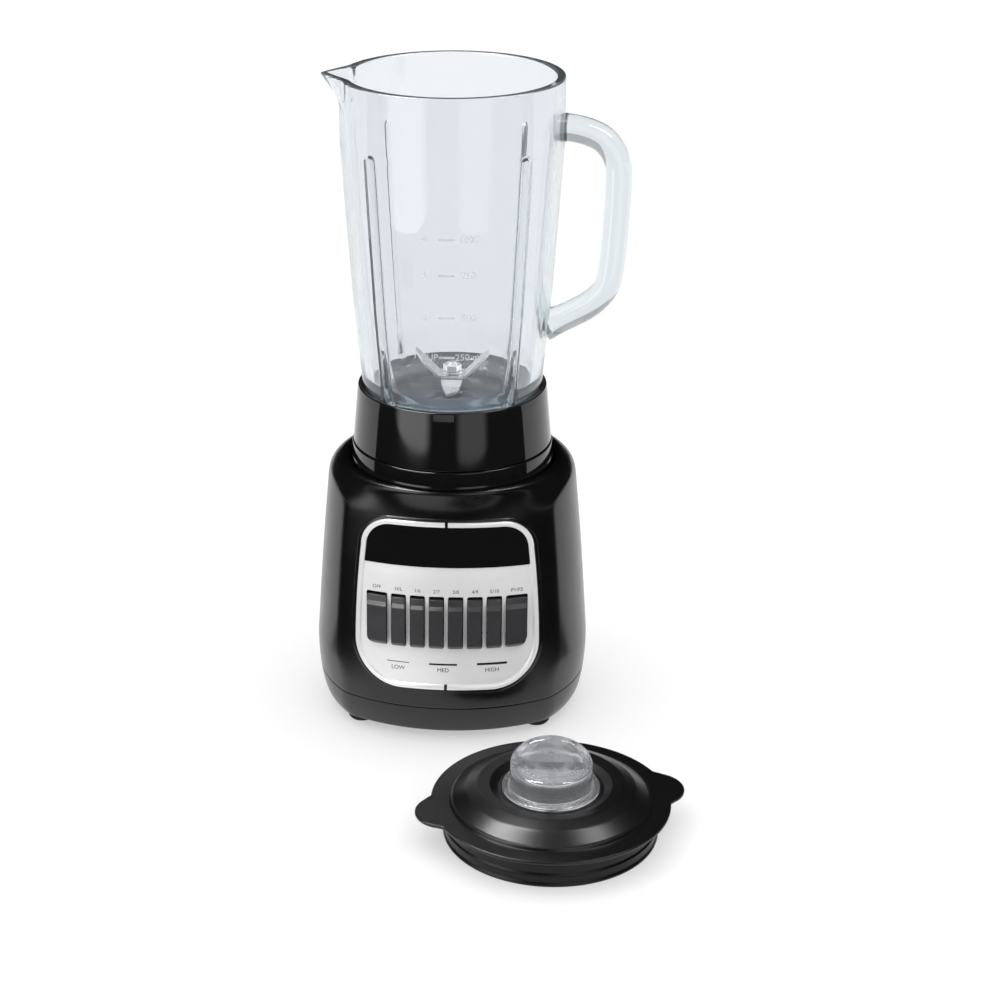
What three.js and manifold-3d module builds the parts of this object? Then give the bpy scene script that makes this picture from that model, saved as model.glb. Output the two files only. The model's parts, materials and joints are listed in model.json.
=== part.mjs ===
// Countertop blender: a glass jar on a motor base, with its lid lying on the counter beside it.
// Millimetres, +Z up, front towards -Y. The counter is z = 0 and the origin is the middle of the
// whole set's footprint. Each piece is drawn about the motor axis, or about the lid's own axis.
import * as THREE from "three";
import { mergeVertices } from "three/addons/utils/BufferGeometryUtils.js";
import Module from "manifold-3d";

const wasm = await Module();
wasm.setup();

// ---------------------------------------------------------------- driving dimensions
const RAD = Math.PI / 180;
const GAP = 0.3; // clearance between neighbouring pieces
const PLACE = { base: [-28.6, 73.8], lid: [36.4, -93.2], lidTurn: 15 };

// motor base: a turned body with a leaning, slightly bowed front
const BODY = {
  bottom: 5, seam: 24.6, lip: 163, deck: 158, deckThick: 2.8, wall: 2.8, wellRadius: 62.8,
  couplingHole: 24.5,
  outer: [[77, 5], [80.6, 12], [83, 25], [84, 42], [83, 60], [79.8, 104], [76.3, 143],
    [75.3, 152.5], [74.2, 156.5], [71.8, 159.8], [68.6, 162], [66, 163]],
};
const FRONT = {
  lean: 6.1, datumZ: 33, datumY: 74.5, bow: 115, topBow: 77, wall: 4, reach: 76,
  tuckBelow: 37, tuckDeep: 32, tuckIn: 12.4, tuckPower: 1.8, flareFrom: 143.5, flareOut: 5.8,
};
const FOOT = { radius: 8.5, height: 5.6, at: [[54, -38], [54, 42], [-54, 42], [-54, -38]] };
const SCREW = { at: [[36, -50], [38, 58], [-38, 58], [-36, -50]], head: 3.6, shank: 1.5 };

const CORD_HEIGHT = 36;

// control panel, in its own frame: x across, v up the lean from the key row, w out of the panel
const PANEL = { z: 80, top: 63.4, bottom: -42, halfTop: 51.6, halfLow: 55.4, topCorner: 18, lowCorner: 28 };
const BEZEL = { border: 3.4, proud: 1.2, sunk: 1.3, notch: 2.4 };
const LABEL = { from: 35.4, thick: 0.6 };
const KEY = { halfHeight: 15.2, proud: 5, travel: 4.5, back: -16, flange: 1.2, gap: 0.5 };
const NARROW_KEY = { width: 8.2, pitch: 11.45 };
const END_KEY = { inner: 36, outer: 47.8, corner: 8 };

// motor
const MOTOR = {
  stator: [33, 31, 62, 100], poleInner: 17, coil: [14.8, 25.2], coilRing: [19.8, 27.2], armature: 16.4,
  shaft: 4, shaftLow: 26, shaftTop: 161, commutator: [10, 40, 52], fan: [26, 110, 122],
  upperPlate: [126, 129], lowerPlate: [30, 33], mount: [26, 18],
};
const COUPLING = { radius: 20, bore: 4.3, teeth: 6, drive: [154, 163, 168.4], driven: [174, 169.6, 164.2] };

// jar
const RING = { outer: 60.6, lip: 61.2, lipTop: 163.9, inner: 45, top: 173.3, wall: 3.4 };
const COLLAR = { low: 60, high: 57.3, bottom: 173.8, top: 209, bore: 46.6, spigot: [40.5, 44], lug: 8 };
const GLASS = {
  rim: 395, rimRadius: 65, neck: 46, neckBore: 38.2, neckBottom: 183.7,
  spoutReach: 11, spoutHalf: 19, spoutFrom: 377, ribFoot: 206, ribTop: 357, ribDepth: 4.2, grooveDepth: 1.4,
};
const HANDLE = {
  halfWide: 9.5, halfDeep: 7.7,
  centre: [[61.5, 364.8], [76, 362.6], [88, 358], [94.6, 349], [96.3, 336.6], [95.2, 307], [93.1, 280],
    [90.4, 268.6], [82, 259.4], [68, 251.4], [54.5, 245]],
};
const BLADE = { thick: 1.5, hub: 6.5, nut: 5.6, upper: [23, 213.9, 228.6], lower: [20, 212, 206.6] };

// lid
const LID = {
  plateRadius: 68, plate: [18, 20], lugReach: 78, lugHalf: 17, domeFoot: 57, crest: [40, 30.5],
  well: [29, 27], hole: 24.4, skirt: [55.6, 58.2],
};
const CAP = {
  radius: 23.3, flange: 27.6, plug: 23.4, seat: 27.3, shoulder: 43, top: 60, low: 9, wall: 2.4,
};

// ---------------------------------------------------------------- materials
function finish(color, roughness, metalness = 0, opacity = 1) {
  return new THREE.MeshStandardMaterial({ color, roughness, metalness, opacity, transparent: opacity < 1 });
}

const LOOK = {
  blackSatin: finish(0x17171a, 0.42),
  blackGloss: finish(0x0b0b0c, 0.12),
  rubber: finish(0x1b1b1c, 0.85),
  keyGrey: finish(0x4a4b4e, 0.5),
  brightMetal: finish(0xdcdde0, 0.22, 0.9),
  brushed: finish(0xd3d4d8, 0.35, 0.85),
  steel: finish(0xb9bbbf, 0.3, 0.95),
  copper: finish(0xb06a3a, 0.35, 0.9),
  lamination: finish(0x6d6f75, 0.5, 0.8),
  carbon: finish(0x232326, 0.7),
  brass: finish(0xb8995a, 0.35, 0.9),
  nylon: finish(0xdedcd2, 0.55),
  zinc: finish(0xa3a7ad, 0.45, 0.9),
  silicone: finish(0xcfd4d6, 0.6),
  glass: finish(0xcfe0e4, 0.03, 0, 0.35),
  clear: finish(0xe8eaec, 0.05, 0, 0.4),
};

// ---------------------------------------------------------------- shape helpers
function closed(geometry) {
  // joins the shared corners and turns the faces outwards
  geometry.deleteAttribute("normal");
  geometry.deleteAttribute("uv");
  const joined = mergeVertices(geometry, 1e-5);
  const { array } = joined.getAttribute("position");
  const index = joined.index.array;
  const corner = (k) => new THREE.Vector3().fromArray(array, 3 * index[k]);
  let volume = 0;
  for (let k = 0; k < index.length; k += 3) {
    volume += corner(k).dot(corner(k + 1).cross(corner(k + 2)));
  }
  if (volume < 0) {
    for (let k = 0; k < index.length; k += 3) {
      [index[k], index[k + 1]] = [index[k + 1], index[k]];
    }
  }
  return joined;
}

function toSolid(geometry) {
  const body = closed(geometry.clone());
  const vertProperties = new Float32Array(body.getAttribute("position").array);
  const triVerts = new Uint32Array(body.index.array);
  return new wasm.Manifold(new wasm.Mesh({ numProp: 3, vertProperties, triVerts }));
}

function toGeometry(solid) {
  const { vertProperties, triVerts } = solid.getMesh();
  const geometry = new THREE.BufferGeometry();
  geometry.setAttribute("position", new THREE.BufferAttribute(vertProperties, 3));
  geometry.setIndex(new THREE.BufferAttribute(triVerts, 1));
  return geometry;
}

function combine(operation, first, rest) {
  return toGeometry(rest.reduce((all, next) => all[operation](toSolid(next)), toSolid(first)));
}

const join = (first, ...rest) => combine("add", first, rest);
const cut = (first, ...rest) => combine("subtract", first, rest);
const common = (first, ...rest) => combine("intersect", first, rest);

function turned(profile, segments = 40) {
  // profile of [radius, z], either closing on itself or starting and ending on the axis
  const points = profile.map(([r, z]) => new THREE.Vector2(r, z));
  return closed(new THREE.LatheGeometry(points, segments).rotateX(Math.PI / 2));
}

function disc(radius, low, high, segments = 16, x = 0, y = 0) {
  return turned([[0, low], [radius, low], [radius, high], [0, high]], segments).translate(x, y, 0);
}

function tube(inner, outer, low, high, segments = 16, x = 0, y = 0) {
  const profile = [[inner, low], [outer, low], [outer, high], [inner, high], [inner, low]];
  return turned(profile, segments).translate(x, y, 0);
}

function box([x0, x1], [y0, y1], [z0, z1]) {
  const block = new THREE.BoxGeometry(x1 - x0, y1 - y0, z1 - z0);
  return closed(block.translate((x0 + x1) / 2, (y0 + y1) / 2, (z0 + z1) / 2));
}

function prism(shape, low, high, divisions = 8) {
  // an upright solid of the outline, with each of its corners taken once
  const corners = shape.getPoints(divisions);
  const outline = corners.filter((p, k) => p.distanceTo(corners[(k + 1) % corners.length]) > 0.01);
  const options = { depth: high - low, bevelEnabled: false };
  return closed(new THREE.ExtrudeGeometry(new THREE.Shape(outline), options).translate(0, 0, low));
}

function polygon(points) {
  return new THREE.Shape(points.map(([x, y]) => new THREE.Vector2(x, y)));
}

function rectangle(x0, x1, y0, y1) {
  return polygon([[x0, y0], [x1, y0], [x1, y1], [x0, y1]]);
}

function loft(rings) {
  // a closed solid through flat rings of the same number of [x, y, z] points, with flat ends
  const count = rings[0].length;
  const positions = rings.flat(2);
  const index = [];
  const flat = rings[0].map(([x, y]) => new THREE.Vector2(x, y));
  const caps = THREE.ShapeUtils.triangulateShape(flat, []);
  for (let j = 0; j + 1 < rings.length; j += 1) {
    for (let i = 0; i < count; i += 1) {
      const a = j * count + i;
      const b = j * count + ((i + 1) % count);
      index.push(a, b, a + count, b, b + count, a + count);
    }
  }
  const top = (rings.length - 1) * count;
  for (const [a, b, c] of caps) {
    index.push(a, c, b, top + a, top + b, top + c);
  }
  const geometry = new THREE.BufferGeometry();
  geometry.setAttribute("position", new THREE.Float32BufferAttribute(positions, 3));
  geometry.setIndex(index);
  return closed(geometry);
}

function ringSkin(sections) {
  // a closed tube-like solid: sections go round the ring, and each section is a closed loop of points
  const count = sections[0].length;
  const index = [];
  for (let j = 0; j < sections.length; j += 1) {
    const next = (j + 1) % sections.length;
    for (let i = 0; i < count; i += 1) {
      const k = (i + 1) % count;
      index.push(j * count + i, next * count + i, next * count + k);
      index.push(j * count + i, next * count + k, j * count + k);
    }
  }
  const geometry = new THREE.BufferGeometry();
  geometry.setAttribute("position", new THREE.Float32BufferAttribute(sections.flat(2), 3));
  geometry.setIndex(index);
  return closed(geometry);
}

// ---------------------------------------------------------------- groups and naming
const blender = new THREE.Group();
const baseGroup = new THREE.Group();
const lidGroup = new THREE.Group();
baseGroup.position.set(...PLACE.base, 0);
lidGroup.position.set(...PLACE.lid, 0);
blender.add(baseGroup, lidGroup);

function piece(name, geometry, look, group = baseGroup) {
  const mesh = new THREE.Mesh(geometry, look);
  mesh.name = name;
  group.add(mesh);
}

const mirrored = [["left", -1], ["right", 1]];
const ordered = (a, b) => [Math.min(a, b), Math.max(a, b)];

// ---------------------------------------------------------------- the base's outer form
function frontY(z) {
  const lean = Math.tan(FRONT.lean * RAD);
  const straight = FRONT.datumY - (z - FRONT.datumZ) * lean;
  const below = Math.max(0, FRONT.tuckBelow - z) / FRONT.tuckDeep;
  const above = Math.max(0, z - FRONT.flareFrom) / (BODY.lip - FRONT.flareFrom);
  return straight - FRONT.tuckIn * below ** FRONT.tuckPower + FRONT.flareOut * above ** 2;
}

function frontBow(z) {
  const blend = THREE.MathUtils.smoothstep(z, FRONT.flareFrom, BODY.lip);
  return FRONT.bow + (FRONT.topBow - FRONT.bow) * blend;
}

const FRONT_LEVELS = [0, 5, 12, 24.6, 37, 143.5, 150, 157, BODY.lip, 172];
const PANEL_LEVELS = [37, 143.5];

function behindFront(inset, levels = FRONT_LEVELS) {
  // everything behind the bowed, leaning front surface, moved in by the inset
  const steps = 12;
  const rings = levels.map((z) => {
    const bow = frontBow(z);
    const spread = Math.asin(FRONT.reach / bow);
    const ring = [];
    for (let i = 0; i <= steps; i += 1) {
      const angle = spread * (2 * i / steps - 1);
      ring.push([bow * Math.sin(angle), bow * (1 - Math.cos(angle)) - frontY(z) + inset, z]);
    }
    return [...ring, [140, 140, z], [-140, 140, z]];
  });
  return loft(rings);
}

function bodyProfile(inset, low, high) {
  // the turned outline between two heights, moved in by the inset, as a solid about the axis
  const radiusAt = (z) => {
    const k = Math.max(1, BODY.outer.findIndex((p) => p[1] >= z));
    const [r0, z0] = BODY.outer[k - 1];
    const [r1, z1] = BODY.outer[k];
    return r0 + (r1 - r0) * (z - z0) / (z1 - z0) - inset;
  };
  const between = BODY.outer.filter(([, z]) => z > low + 0.5 && z < high - 0.5);
  const middle = between.map(([r, z]) => [r - inset, z]);
  return [[0, low], [radiusAt(low), low], ...middle, [radiusAt(high), high], [0, high]];
}

// ---------------------------------------------------------------- panel frame
const leanTurn = new THREE.Matrix4().makeRotationX((90 - FRONT.lean) * RAD);
const panelFrame = new THREE.Matrix4().makeTranslation(0, -frontY(PANEL.z), PANEL.z).multiply(leanTurn);
const onPanel = (geometry) => geometry.applyMatrix4(panelFrame);
const bowSag = (x) => FRONT.bow - Math.sqrt(FRONT.bow ** 2 - x ** 2);

function panelOutline(inset) {
  const top = PANEL.top - inset;
  const bottom = PANEL.bottom + inset;
  const [high, low] = [PANEL.topCorner - inset, PANEL.lowCorner - inset];
  const [xHigh, xLow] = [PANEL.halfTop - PANEL.topCorner, PANEL.halfLow - PANEL.lowCorner];
  const shape = new THREE.Shape();
  const sideBow = PANEL.halfLow - inset - 0.4;
  const sideMiddle = (top - high + bottom + low) / 2;
  shape.absarc(xLow, bottom + low, low, -90 * RAD, 0);
  shape.quadraticCurveTo(sideBow, sideMiddle, xHigh + high, top - high);
  shape.absarc(xHigh, top - high, high, 0, 90 * RAD);
  shape.absarc(-xHigh, top - high, high, 90 * RAD, 180 * RAD);
  shape.quadraticCurveTo(-sideBow, sideMiddle, -xLow - low, bottom + low);
  shape.absarc(-xLow, bottom + low, low, 180 * RAD, 270 * RAD);
  return shape;
}

function panelPrism(inset, front = 12, back = -30) {
  return onPanel(prism(panelOutline(inset), back, front, 3));
}

function panelSheet(outline, back, front) {
  // a plate that follows the bowed front between two depths
  return cut(common(outline, behindFront(-front, PANEL_LEVELS)), behindFront(-back, PANEL_LEVELS));
}

function keyPlaces() {
  // [name, left side, right side] of each key, from left to right
  const narrow = [0, 1, 2, 3, 4, 5].map((k) => {
    const middle = (k - 2.5) * NARROW_KEY.pitch;
    return [`speed_key_${k + 1}`, middle - NARROW_KEY.width / 2, middle + NARROW_KEY.width / 2];
  });
  const { inner, outer } = END_KEY;
  return [["off_key", -outer, -inner], ...narrow, ["pulse_key", inner, outer]];
}

// ---------------------------------------------------------------- base pieces
function motorHousing() {
  const { seam, deck, deckThick, wall, couplingHole, wellRadius } = BODY;
  const outer = common(turned(bodyProfile(0, seam + GAP, BODY.lip), 36), behindFront(0));
  const hollow = common(turned(bodyProfile(wall, seam - 1, deck - deckThick), 20), behindFront(FRONT.wall));
  const well = disc(wellRadius, deck, 175, 36);
  const shell = cut(outer, hollow, well, disc(couplingHole, 150, 170, 24));
  const recess = cut(panelPrism(-GAP, 14, -34), behindFront(BEZEL.sunk + GAP));
  const posts = [];
  for (const [x, y] of SCREW.at) {
    const reach = box([0, 60], [-1.5, 1.5], [seam + GAP, 52]).rotateZ(Math.atan2(y, x)).translate(x, y, 0);
    posts.push(disc(5, seam + GAP, 52, 10, x, y), reach);
  }
  const trimmedPosts = common(join(...posts), outer);
  const hangers = [1, -1].flatMap((sx) => [1, -1].map((sy) => (
    disc(4.5, MOTOR.upperPlate[1] + 6.6, deck - 1, 10, sx * MOTOR.mount[0], sy * MOTOR.mount[1])
  )));
  const holes = SCREW.at.map(([x, y]) => disc(SCREW.shank + GAP, seam - 1, 45, 12, x, y));
  const inlet = disc(6.6, 60, 100, 16).rotateX(-90 * RAD).translate(0, 0, CORD_HEIGHT);
  return cut(join(shell, trimmedPosts, ...hangers), recess, panelPrism(4.9), inlet, ...holes);
}

function bottomCover() {
  const { bottom, seam, wall } = BODY;
  const outer = common(turned(bodyProfile(0, bottom, seam), 36), behindFront(0));
  const hollow = common(turned(bodyProfile(wall, bottom + wall, seam + 1), 20), behindFront(wall + 0.6));
  const tray = cut(outer, hollow);
  const posts = SCREW.at.map(([x, y]) => disc(6, bottom + 1, seam, 12, x, y));
  const heads = SCREW.at.map(([x, y]) => disc(SCREW.head + 0.5, 0, bottom + 5, 12, x, y));
  const holes = SCREW.at.map(([x, y]) => disc(SCREW.shank + GAP, 0, seam + 2, 12, x, y));
  const sockets = FOOT.at.map(([x, y]) => disc(FOOT.radius + GAP, 0, bottom + 1, 16, x, y));
  const vents = [-2, -1, 0, 1, 2].map((k) => box([k * 9 - 1.8, k * 9 + 1.8], [-24, 24], [0, bottom + 4]));
  return cut(join(tray, ...posts), ...heads, ...holes, ...sockets, ...vents);
}

function foot([x, y]) {
  const { radius, height } = FOOT;
  const profile = [
    [0, 1.6], [3.4, 1.6], [3.8, 0], [radius - 1.4, 0], [radius - 0.3, 1.1], [radius, height], [0, height],
  ];
  return turned(profile, 16).translate(x, y, 0);
}

function coverScrew([x, y]) {
  const { head, shank } = SCREW;
  const low = BODY.bottom + 1.2;
  const profile = [[0, low], [head, low], [head, low + 3], [shank, low + 3.2], [shank, 43], [0, 44]];
  const slot = box([-2.2, 2.2], [-0.5, 0.5], [low - 1, low + 1.4]);
  const crossSlot = slot.clone().rotateZ(90 * RAD);
  return cut(turned(profile, 12), slot, crossSlot).translate(x, y, 0);
}

function seatRing() {
  const { outer, lip, lipTop, inner, top, wall } = RING;
  const low = BODY.deck + GAP;
  const ring = turned([
    [outer - wall, low], [lip, low], [lip, lipTop], [outer + 0.2, lipTop + 0.8], [outer, top - 0.8],
    [outer - 0.8, top], [inner, top], [inner, low], [inner + wall, low], [inner + wall, top - wall],
    [outer - wall, top - wall], [outer - wall, low],
  ], 32);
  const halfNotch = COLLAR.lug / 2 + 0.7;
  const notch = box([inner - 2, inner + wall + 0.4], [-halfNotch, halfNotch], [lipTop - 0.2, top + 1]);
  const notches = [0, 1, 2, 3].map((k) => notch.clone().rotateZ((45 + 90 * k) * RAD));
  return cut(ring, ...notches);
}

function bezelFrame() {
  const { border, proud, sunk, notch } = BEZEL;
  const frame = panelSheet(cut(panelPrism(0), panelPrism(border, 14, -34)), -sunk, proud);
  const nick = (v) => onPanel(prism(rectangle(-notch / 2, notch / 2, v - 1, v + 1), 0.3, 9));
  return cut(frame, nick(PANEL.top - border), nick(PANEL.bottom + border));
}

function controlPanel() {
  const { halfHeight, gap } = KEY;
  const sheet = panelSheet(panelPrism(BEZEL.border + GAP), -BEZEL.sunk, -0.2);
  const slots = keyPlaces().map(([, left, right]) => (
    onPanel(prism(rectangle(left - gap, right + gap, -halfHeight - gap, halfHeight + 1.8), -30, 10))
  ));
  return cut(sheet, ...slots);
}

function labelPlate() {
  const above = onPanel(prism(rectangle(-70, 70, LABEL.from, 90), -40, 20));
  return panelSheet(common(panelPrism(BEZEL.border + GAP), above), 0.1, 0.1 + LABEL.thick);
}

function key([name, left, right]) {
  // the side outline is drawn as (w, v) and carried across the key's width
  const { halfHeight: h, proud, back, flange } = KEY;
  const surface = -bowSag((left + right) / 2);
  const face = surface + proud;
  const rim = surface - 4.4;
  const rimBack = rim - flange;
  const side = polygon([
    [back, -h + flange], [rimBack, -h + flange], [rimBack, -h - flange], [rim, -h - flange], [rim, -h],
    [surface + 1.8, -h], [face - 1.2, -h + 0.9], [face, -h + 3.4], [face - 0.6, h - 6.2],
    [face - 1.4, h - 5], [surface + 1.4, h - 2], [surface + 1, h], [rim, h], [rim, h + flange],
    [rimBack, h + flange], [rimBack, h - flange], [back, h - flange],
  ]);
  const swapAxes = new THREE.Matrix4().set(0, 0, 1, 0, 0, 1, 0, 0, 1, 0, 0, 0, 0, 0, 0, 1);
  const body = closed(prism(side, left, right).applyMatrix4(swapAxes));
  if (!name.startsWith("speed")) {
    return onPanel(common(body, prism(endKeyOutline(left, right), back - 1, 20, 3)));
  }
  return onPanel(body);
}

function endKeyOutline(left, right) {
  // an end key's outer lower corner is rounded off
  const { halfHeight: h, flange } = KEY;
  const top = h + flange + 1;
  const corner = END_KEY.corner;
  const shape = new THREE.Shape();
  if (left < 0) {
    shape.moveTo(right, -h + 1.5);
    shape.lineTo(right, top);
    shape.lineTo(left, top);
    shape.absarc(left + corner, -h + 1 + corner, corner, 180 * RAD, 270 * RAD);
  } else {
    shape.moveTo(left, top);
    shape.lineTo(left, -h + 1.5);
    shape.absarc(right - corner, -h + 1 + corner, corner, -90 * RAD, 0);
    shape.lineTo(right, top);
  }
  return shape;
}

function switchBlock() {
  const front = KEY.back - KEY.travel - 0.6;
  const block = prism(rectangle(-47, 47, -12, 12), front - 9, front);
  const contacts = keyPlaces().map(([, left, right]) => (
    prism(rectangle((left + right) / 2 - 1, (left + right) / 2 + 1, -16, -11), front - 6, front - 4)
  ));
  return onPanel(join(block, ...contacts));
}

// ---------------------------------------------------------------- motor pieces
function statorCore() {
  const [halfX, halfY, low, high] = MOTOR.stator;
  const shape = polygon([
    [halfX, -halfY + 6], [halfX, halfY - 6], [halfX - 6, halfY], [-halfX + 6, halfY],
    [-halfX, halfY - 6], [-halfX, -halfY + 6], [-halfX + 6, -halfY], [halfX - 6, -halfY],
  ]);
  const [near, far] = MOTOR.coil;
  const [inner, outer] = MOTOR.coilRing;
  const slots = [1, -1].flatMap((sx) => [1, -1].map((sy) => box(
    ordered(sx * (near - GAP), sx * (far + GAP)),
    ordered(sy * (inner - GAP), sy * (outer + GAP)),
    [low - 1, high + 1],
  )));
  return cut(prism(shape, low, high), disc(MOTOR.poleInner, low - 1, high + 1, 32), ...slots);
}

function fieldCoil(side) {
  // a racetrack winding round one pole, drawn flat and stood on edge
  const [near, far] = MOTOR.coil;
  const [inner, outer] = MOTOR.coilRing;
  const [, , low, high] = MOTOR.stator;
  const half = (high - low) / 2;
  const track = (y, z, r) => {
    const shape = new THREE.Shape();
    shape.absarc(y - r, z - r, r, 0, 90 * RAD);
    shape.absarc(-y + r, z - r, r, 90 * RAD, 180 * RAD);
    shape.absarc(-y + r, -z + r, r, 180 * RAD, 270 * RAD);
    shape.absarc(y - r, -z + r, r, 270 * RAD, 360 * RAD);
    return shape;
  };
  const ring = cut(
    prism(track(outer, half + 7.4, 6), near, far, 4),
    prism(track(inner, half + 0.5, 0.5), near - 1, far + 1, 1),
  );
  const stand = new THREE.Matrix4().makeBasis(
    new THREE.Vector3(0, 1, 0), new THREE.Vector3(0, 0, 1), new THREE.Vector3(1, 0, 0),
  );
  ring.applyMatrix4(stand);
  if (side < 0) {
    ring.rotateZ(Math.PI);
  }
  return ring.translate(0, 0, (low + high) / 2);
}

const armatureSlots = [...Array(10).keys()].map((k) => (36 * k + 18) * RAD);

function armatureCore() {
  const [, , low, high] = MOTOR.stator;
  const slots = armatureSlots.map((angle) => box([9, 18], [-1.6, 1.6], [low - 1, high + 1]).rotateZ(angle));
  return cut(tube(MOTOR.shaft + GAP, MOTOR.armature, low, high, 30), ...slots);
}

function armatureWinding() {
  const [, , low, high] = MOTOR.stator;
  const end = (z0, z1) => tube(8, 13.8, z0, z1);
  const bars = armatureSlots.map((angle) => (
    box([10, 13.6], [-1.2, 1.2], [low - 2, high + 2]).rotateZ(angle)
  ));
  return join(end(low - 8, low - GAP), end(high + GAP, high + 7), ...bars);
}

function motorShaft() {
  const { shaft, shaftLow: low, shaftTop: top } = MOTOR;
  const profile = [
    [0, low], [shaft - 0.6, low], [shaft, low + 0.8], [shaft, top - 1], [shaft - 0.8, top], [0, top],
  ];
  return turned(profile, 16);
}

function commutator() {
  const [radius, low, high] = MOTOR.commutator;
  const grooves = [...Array(10).keys()].map((k) => (
    box([radius - 1.2, radius + 1], [-0.4, 0.4], [low - 1, high + 1]).rotateZ(36 * k * RAD)
  ));
  return cut(tube(MOTOR.shaft + GAP, radius, low, high, 20), ...grooves);
}

function coolingFan() {
  const [radius, low, high] = MOTOR.fan;
  const hub = tube(MOTOR.shaft + GAP, 8, low, high);
  const plate = tube(7, radius, low, low + 1.6, 20);
  const vanes = [...Array(8).keys()].map((k) => (
    box([7, radius - 1], [-0.7, 0.7], [low + 1, high - 1]).rotateZ(45 * k * RAD)
  ));
  return join(hub, plate, ...vanes);
}

function bracket(plate, legFrom, legTo, halfDeep) {
  const [halfX] = MOTOR.stator;
  const hub = tube(MOTOR.shaft + 3.2, 11, plate[0] - 3, plate[1] + 3);
  const legs = mirrored.map(([, s]) => (
    box(ordered(s * halfX, s * (halfX - 3.4)), [-11, 11], [legFrom, legTo])
  ));
  const sheet = box([-halfX, halfX], [-halfDeep, halfDeep], plate);
  const bore = disc(MOTOR.shaft + 3.2, plate[0] - 5, plate[1] + 5);
  return cut(join(sheet, hub, ...legs), bore);
}

function bush(low, high) {
  return tube(MOTOR.shaft + GAP, MOTOR.shaft + 2.9, low, high);
}

function brush(side) {
  const [radius, low, high] = MOTOR.commutator;
  return box([-2.6, 2.6], ordered(side * (radius + GAP), side * (radius + 11)), [low + 2.6, high - 2.6]);
}

function brushHolder(side) {
  const [radius, low, high] = MOTOR.commutator;
  const outside = ordered(side * (radius + 3), side * (radius + 15));
  const inside = ordered(side * (radius + 2), side * (radius + 11.6));
  const block = box([-4.4, 4.4], outside, [low + 0.8, high - 0.8]);
  return cut(block, box([-2.9, 2.9], inside, [low + 2.3, high - 2.3]));
}

function dogs(radius, low, high, turn) {
  return [...Array(COUPLING.teeth).keys()].map((k) => (
    box([11, radius], [-2.6, 2.6], [low, high]).rotateZ((60 * k + turn) * RAD)
  ));
}

function driveCoupling() {
  const { radius, bore, drive: [low, face, top] } = COUPLING;
  const wheel = turned([
    [bore, low], [9, low], [10, BODY.deck], [radius, BODY.deck], [radius, face], [bore, face], [bore, low],
  ], 24);
  return join(wheel, ...dogs(radius - 0.4, face - 1, top, 0));
}

function drivenCoupling() {
  const { radius, bore, driven: [top, face, low] } = COUPLING;
  const wheel = turned([
    [0, face], [radius, face], [radius, top - 1], [radius - 2, top], [bore, top], [bore, face + 1.6],
    [0, face + 1.6],
  ], 24);
  return join(wheel, ...dogs(radius - 0.4, low, face + 1, 30));
}

function slinger() {
  return turned([[4.3, 146], [9, 146], [14, 148.6], [14, 149.8], [8, 148.8], [4.3, 150.4], [4.3, 146]], 16);
}

function grommet(sx, sy) {
  const [x, y] = MOTOR.mount;
  const low = MOTOR.upperPlate[1] + GAP;
  const profile = [
    [1.8, low], [5, low], [5, low + 2], [4, low + 3], [5, low + 4], [5, low + 6], [1.8, low + 6], [1.8, low],
  ];
  return turned(profile, 12).translate(sx * x, sy * y, 0);
}

function cordGland() {
  const profile = [
    [3.7, 74], [6.2, 74], [6.2, 84.4], [8.4, 84.8], [8.2, 86.6], [5.6, 87.4], [3.7, 87.4], [3.7, 74],
  ];
  return turned(profile, 16).rotateX(-90 * RAD).translate(0, 0, CORD_HEIGHT);
}

// ---------------------------------------------------------------- jar pieces
function jarShape(angle, z, inside) {
  // how far the glass stands out from its turned profile at an angle and a height
  const fromSpout = Math.abs(Math.PI - ((angle + 2 * Math.PI) % (2 * Math.PI))) / (GLASS.spoutHalf * RAD);
  const rise = THREE.MathUtils.clamp((z - GLASS.spoutFrom) / (GLASS.rim - GLASS.spoutFrom), 0, 1);
  const spout = GLASS.spoutReach * Math.max(0, 1 - fromSpout) ** 1.3 * rise ** 1.1;
  const fromRib = Math.abs((angle / RAD + 360) % 90 - 45);
  const onRib = fromRib < 3 && z < GLASS.ribTop && z > GLASS.ribFoot ? 1 : 0;
  return spout - onRib * (inside ? GLASS.ribDepth : GLASS.grooveDepth);
}

function glassJar() {
  const { rim, rimRadius, neck, neckBore, neckBottom, ribTop } = GLASS;
  const outside = [
    [neck, neckBottom], [neck, 200], [51.4, 205], [54.2, 212], [55.4, 226], [58.7, 260], [62.6, 318],
    [64.8, ribTop - 4], [rimRadius, ribTop], [rimRadius, 377], [rimRadius, rim - 1.6],
    [rimRadius - 1.4, rim],
  ];
  const inside = [
    [rimRadius - 4.2, rim], [rimRadius - 5.5, rim - 1.6], [rimRadius - 5.5, 377], [rimRadius - 5.5, ribTop],
    [59, ribTop - 4], [56.8, 318], [52.4, 260], [48.2, 216], [45.6, 209.4], [neckBore, 204.6],
    [neckBore, neckBottom],
  ];
  const steps = 40;
  const sections = [];
  for (let j = 0; j < steps; j += 1) {
    const angle = (2 * Math.PI * j) / steps;
    const place = (inner) => ([r, z]) => {
      const reach = r + jarShape(angle, z, inner);
      return [reach * Math.cos(angle), reach * Math.sin(angle), z];
    };
    sections.push([...outside.map(place(false)), ...inside.map(place(true))]);
  }
  return join(ringSkin(sections), jarHandle());
}

function jarHandle() {
  const points = HANDLE.centre.map(([x, z]) => new THREE.Vector3(x, 0, z));
  const section = new THREE.Shape().absellipse(0, 0, HANDLE.halfWide, HANDLE.halfDeep, 0, 2 * Math.PI);
  const options = { steps: 16, extrudePath: new THREE.CatmullRomCurve3(points), curveSegments: 4 };
  return closed(new THREE.ExtrudeGeometry(section, options));
}

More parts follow.
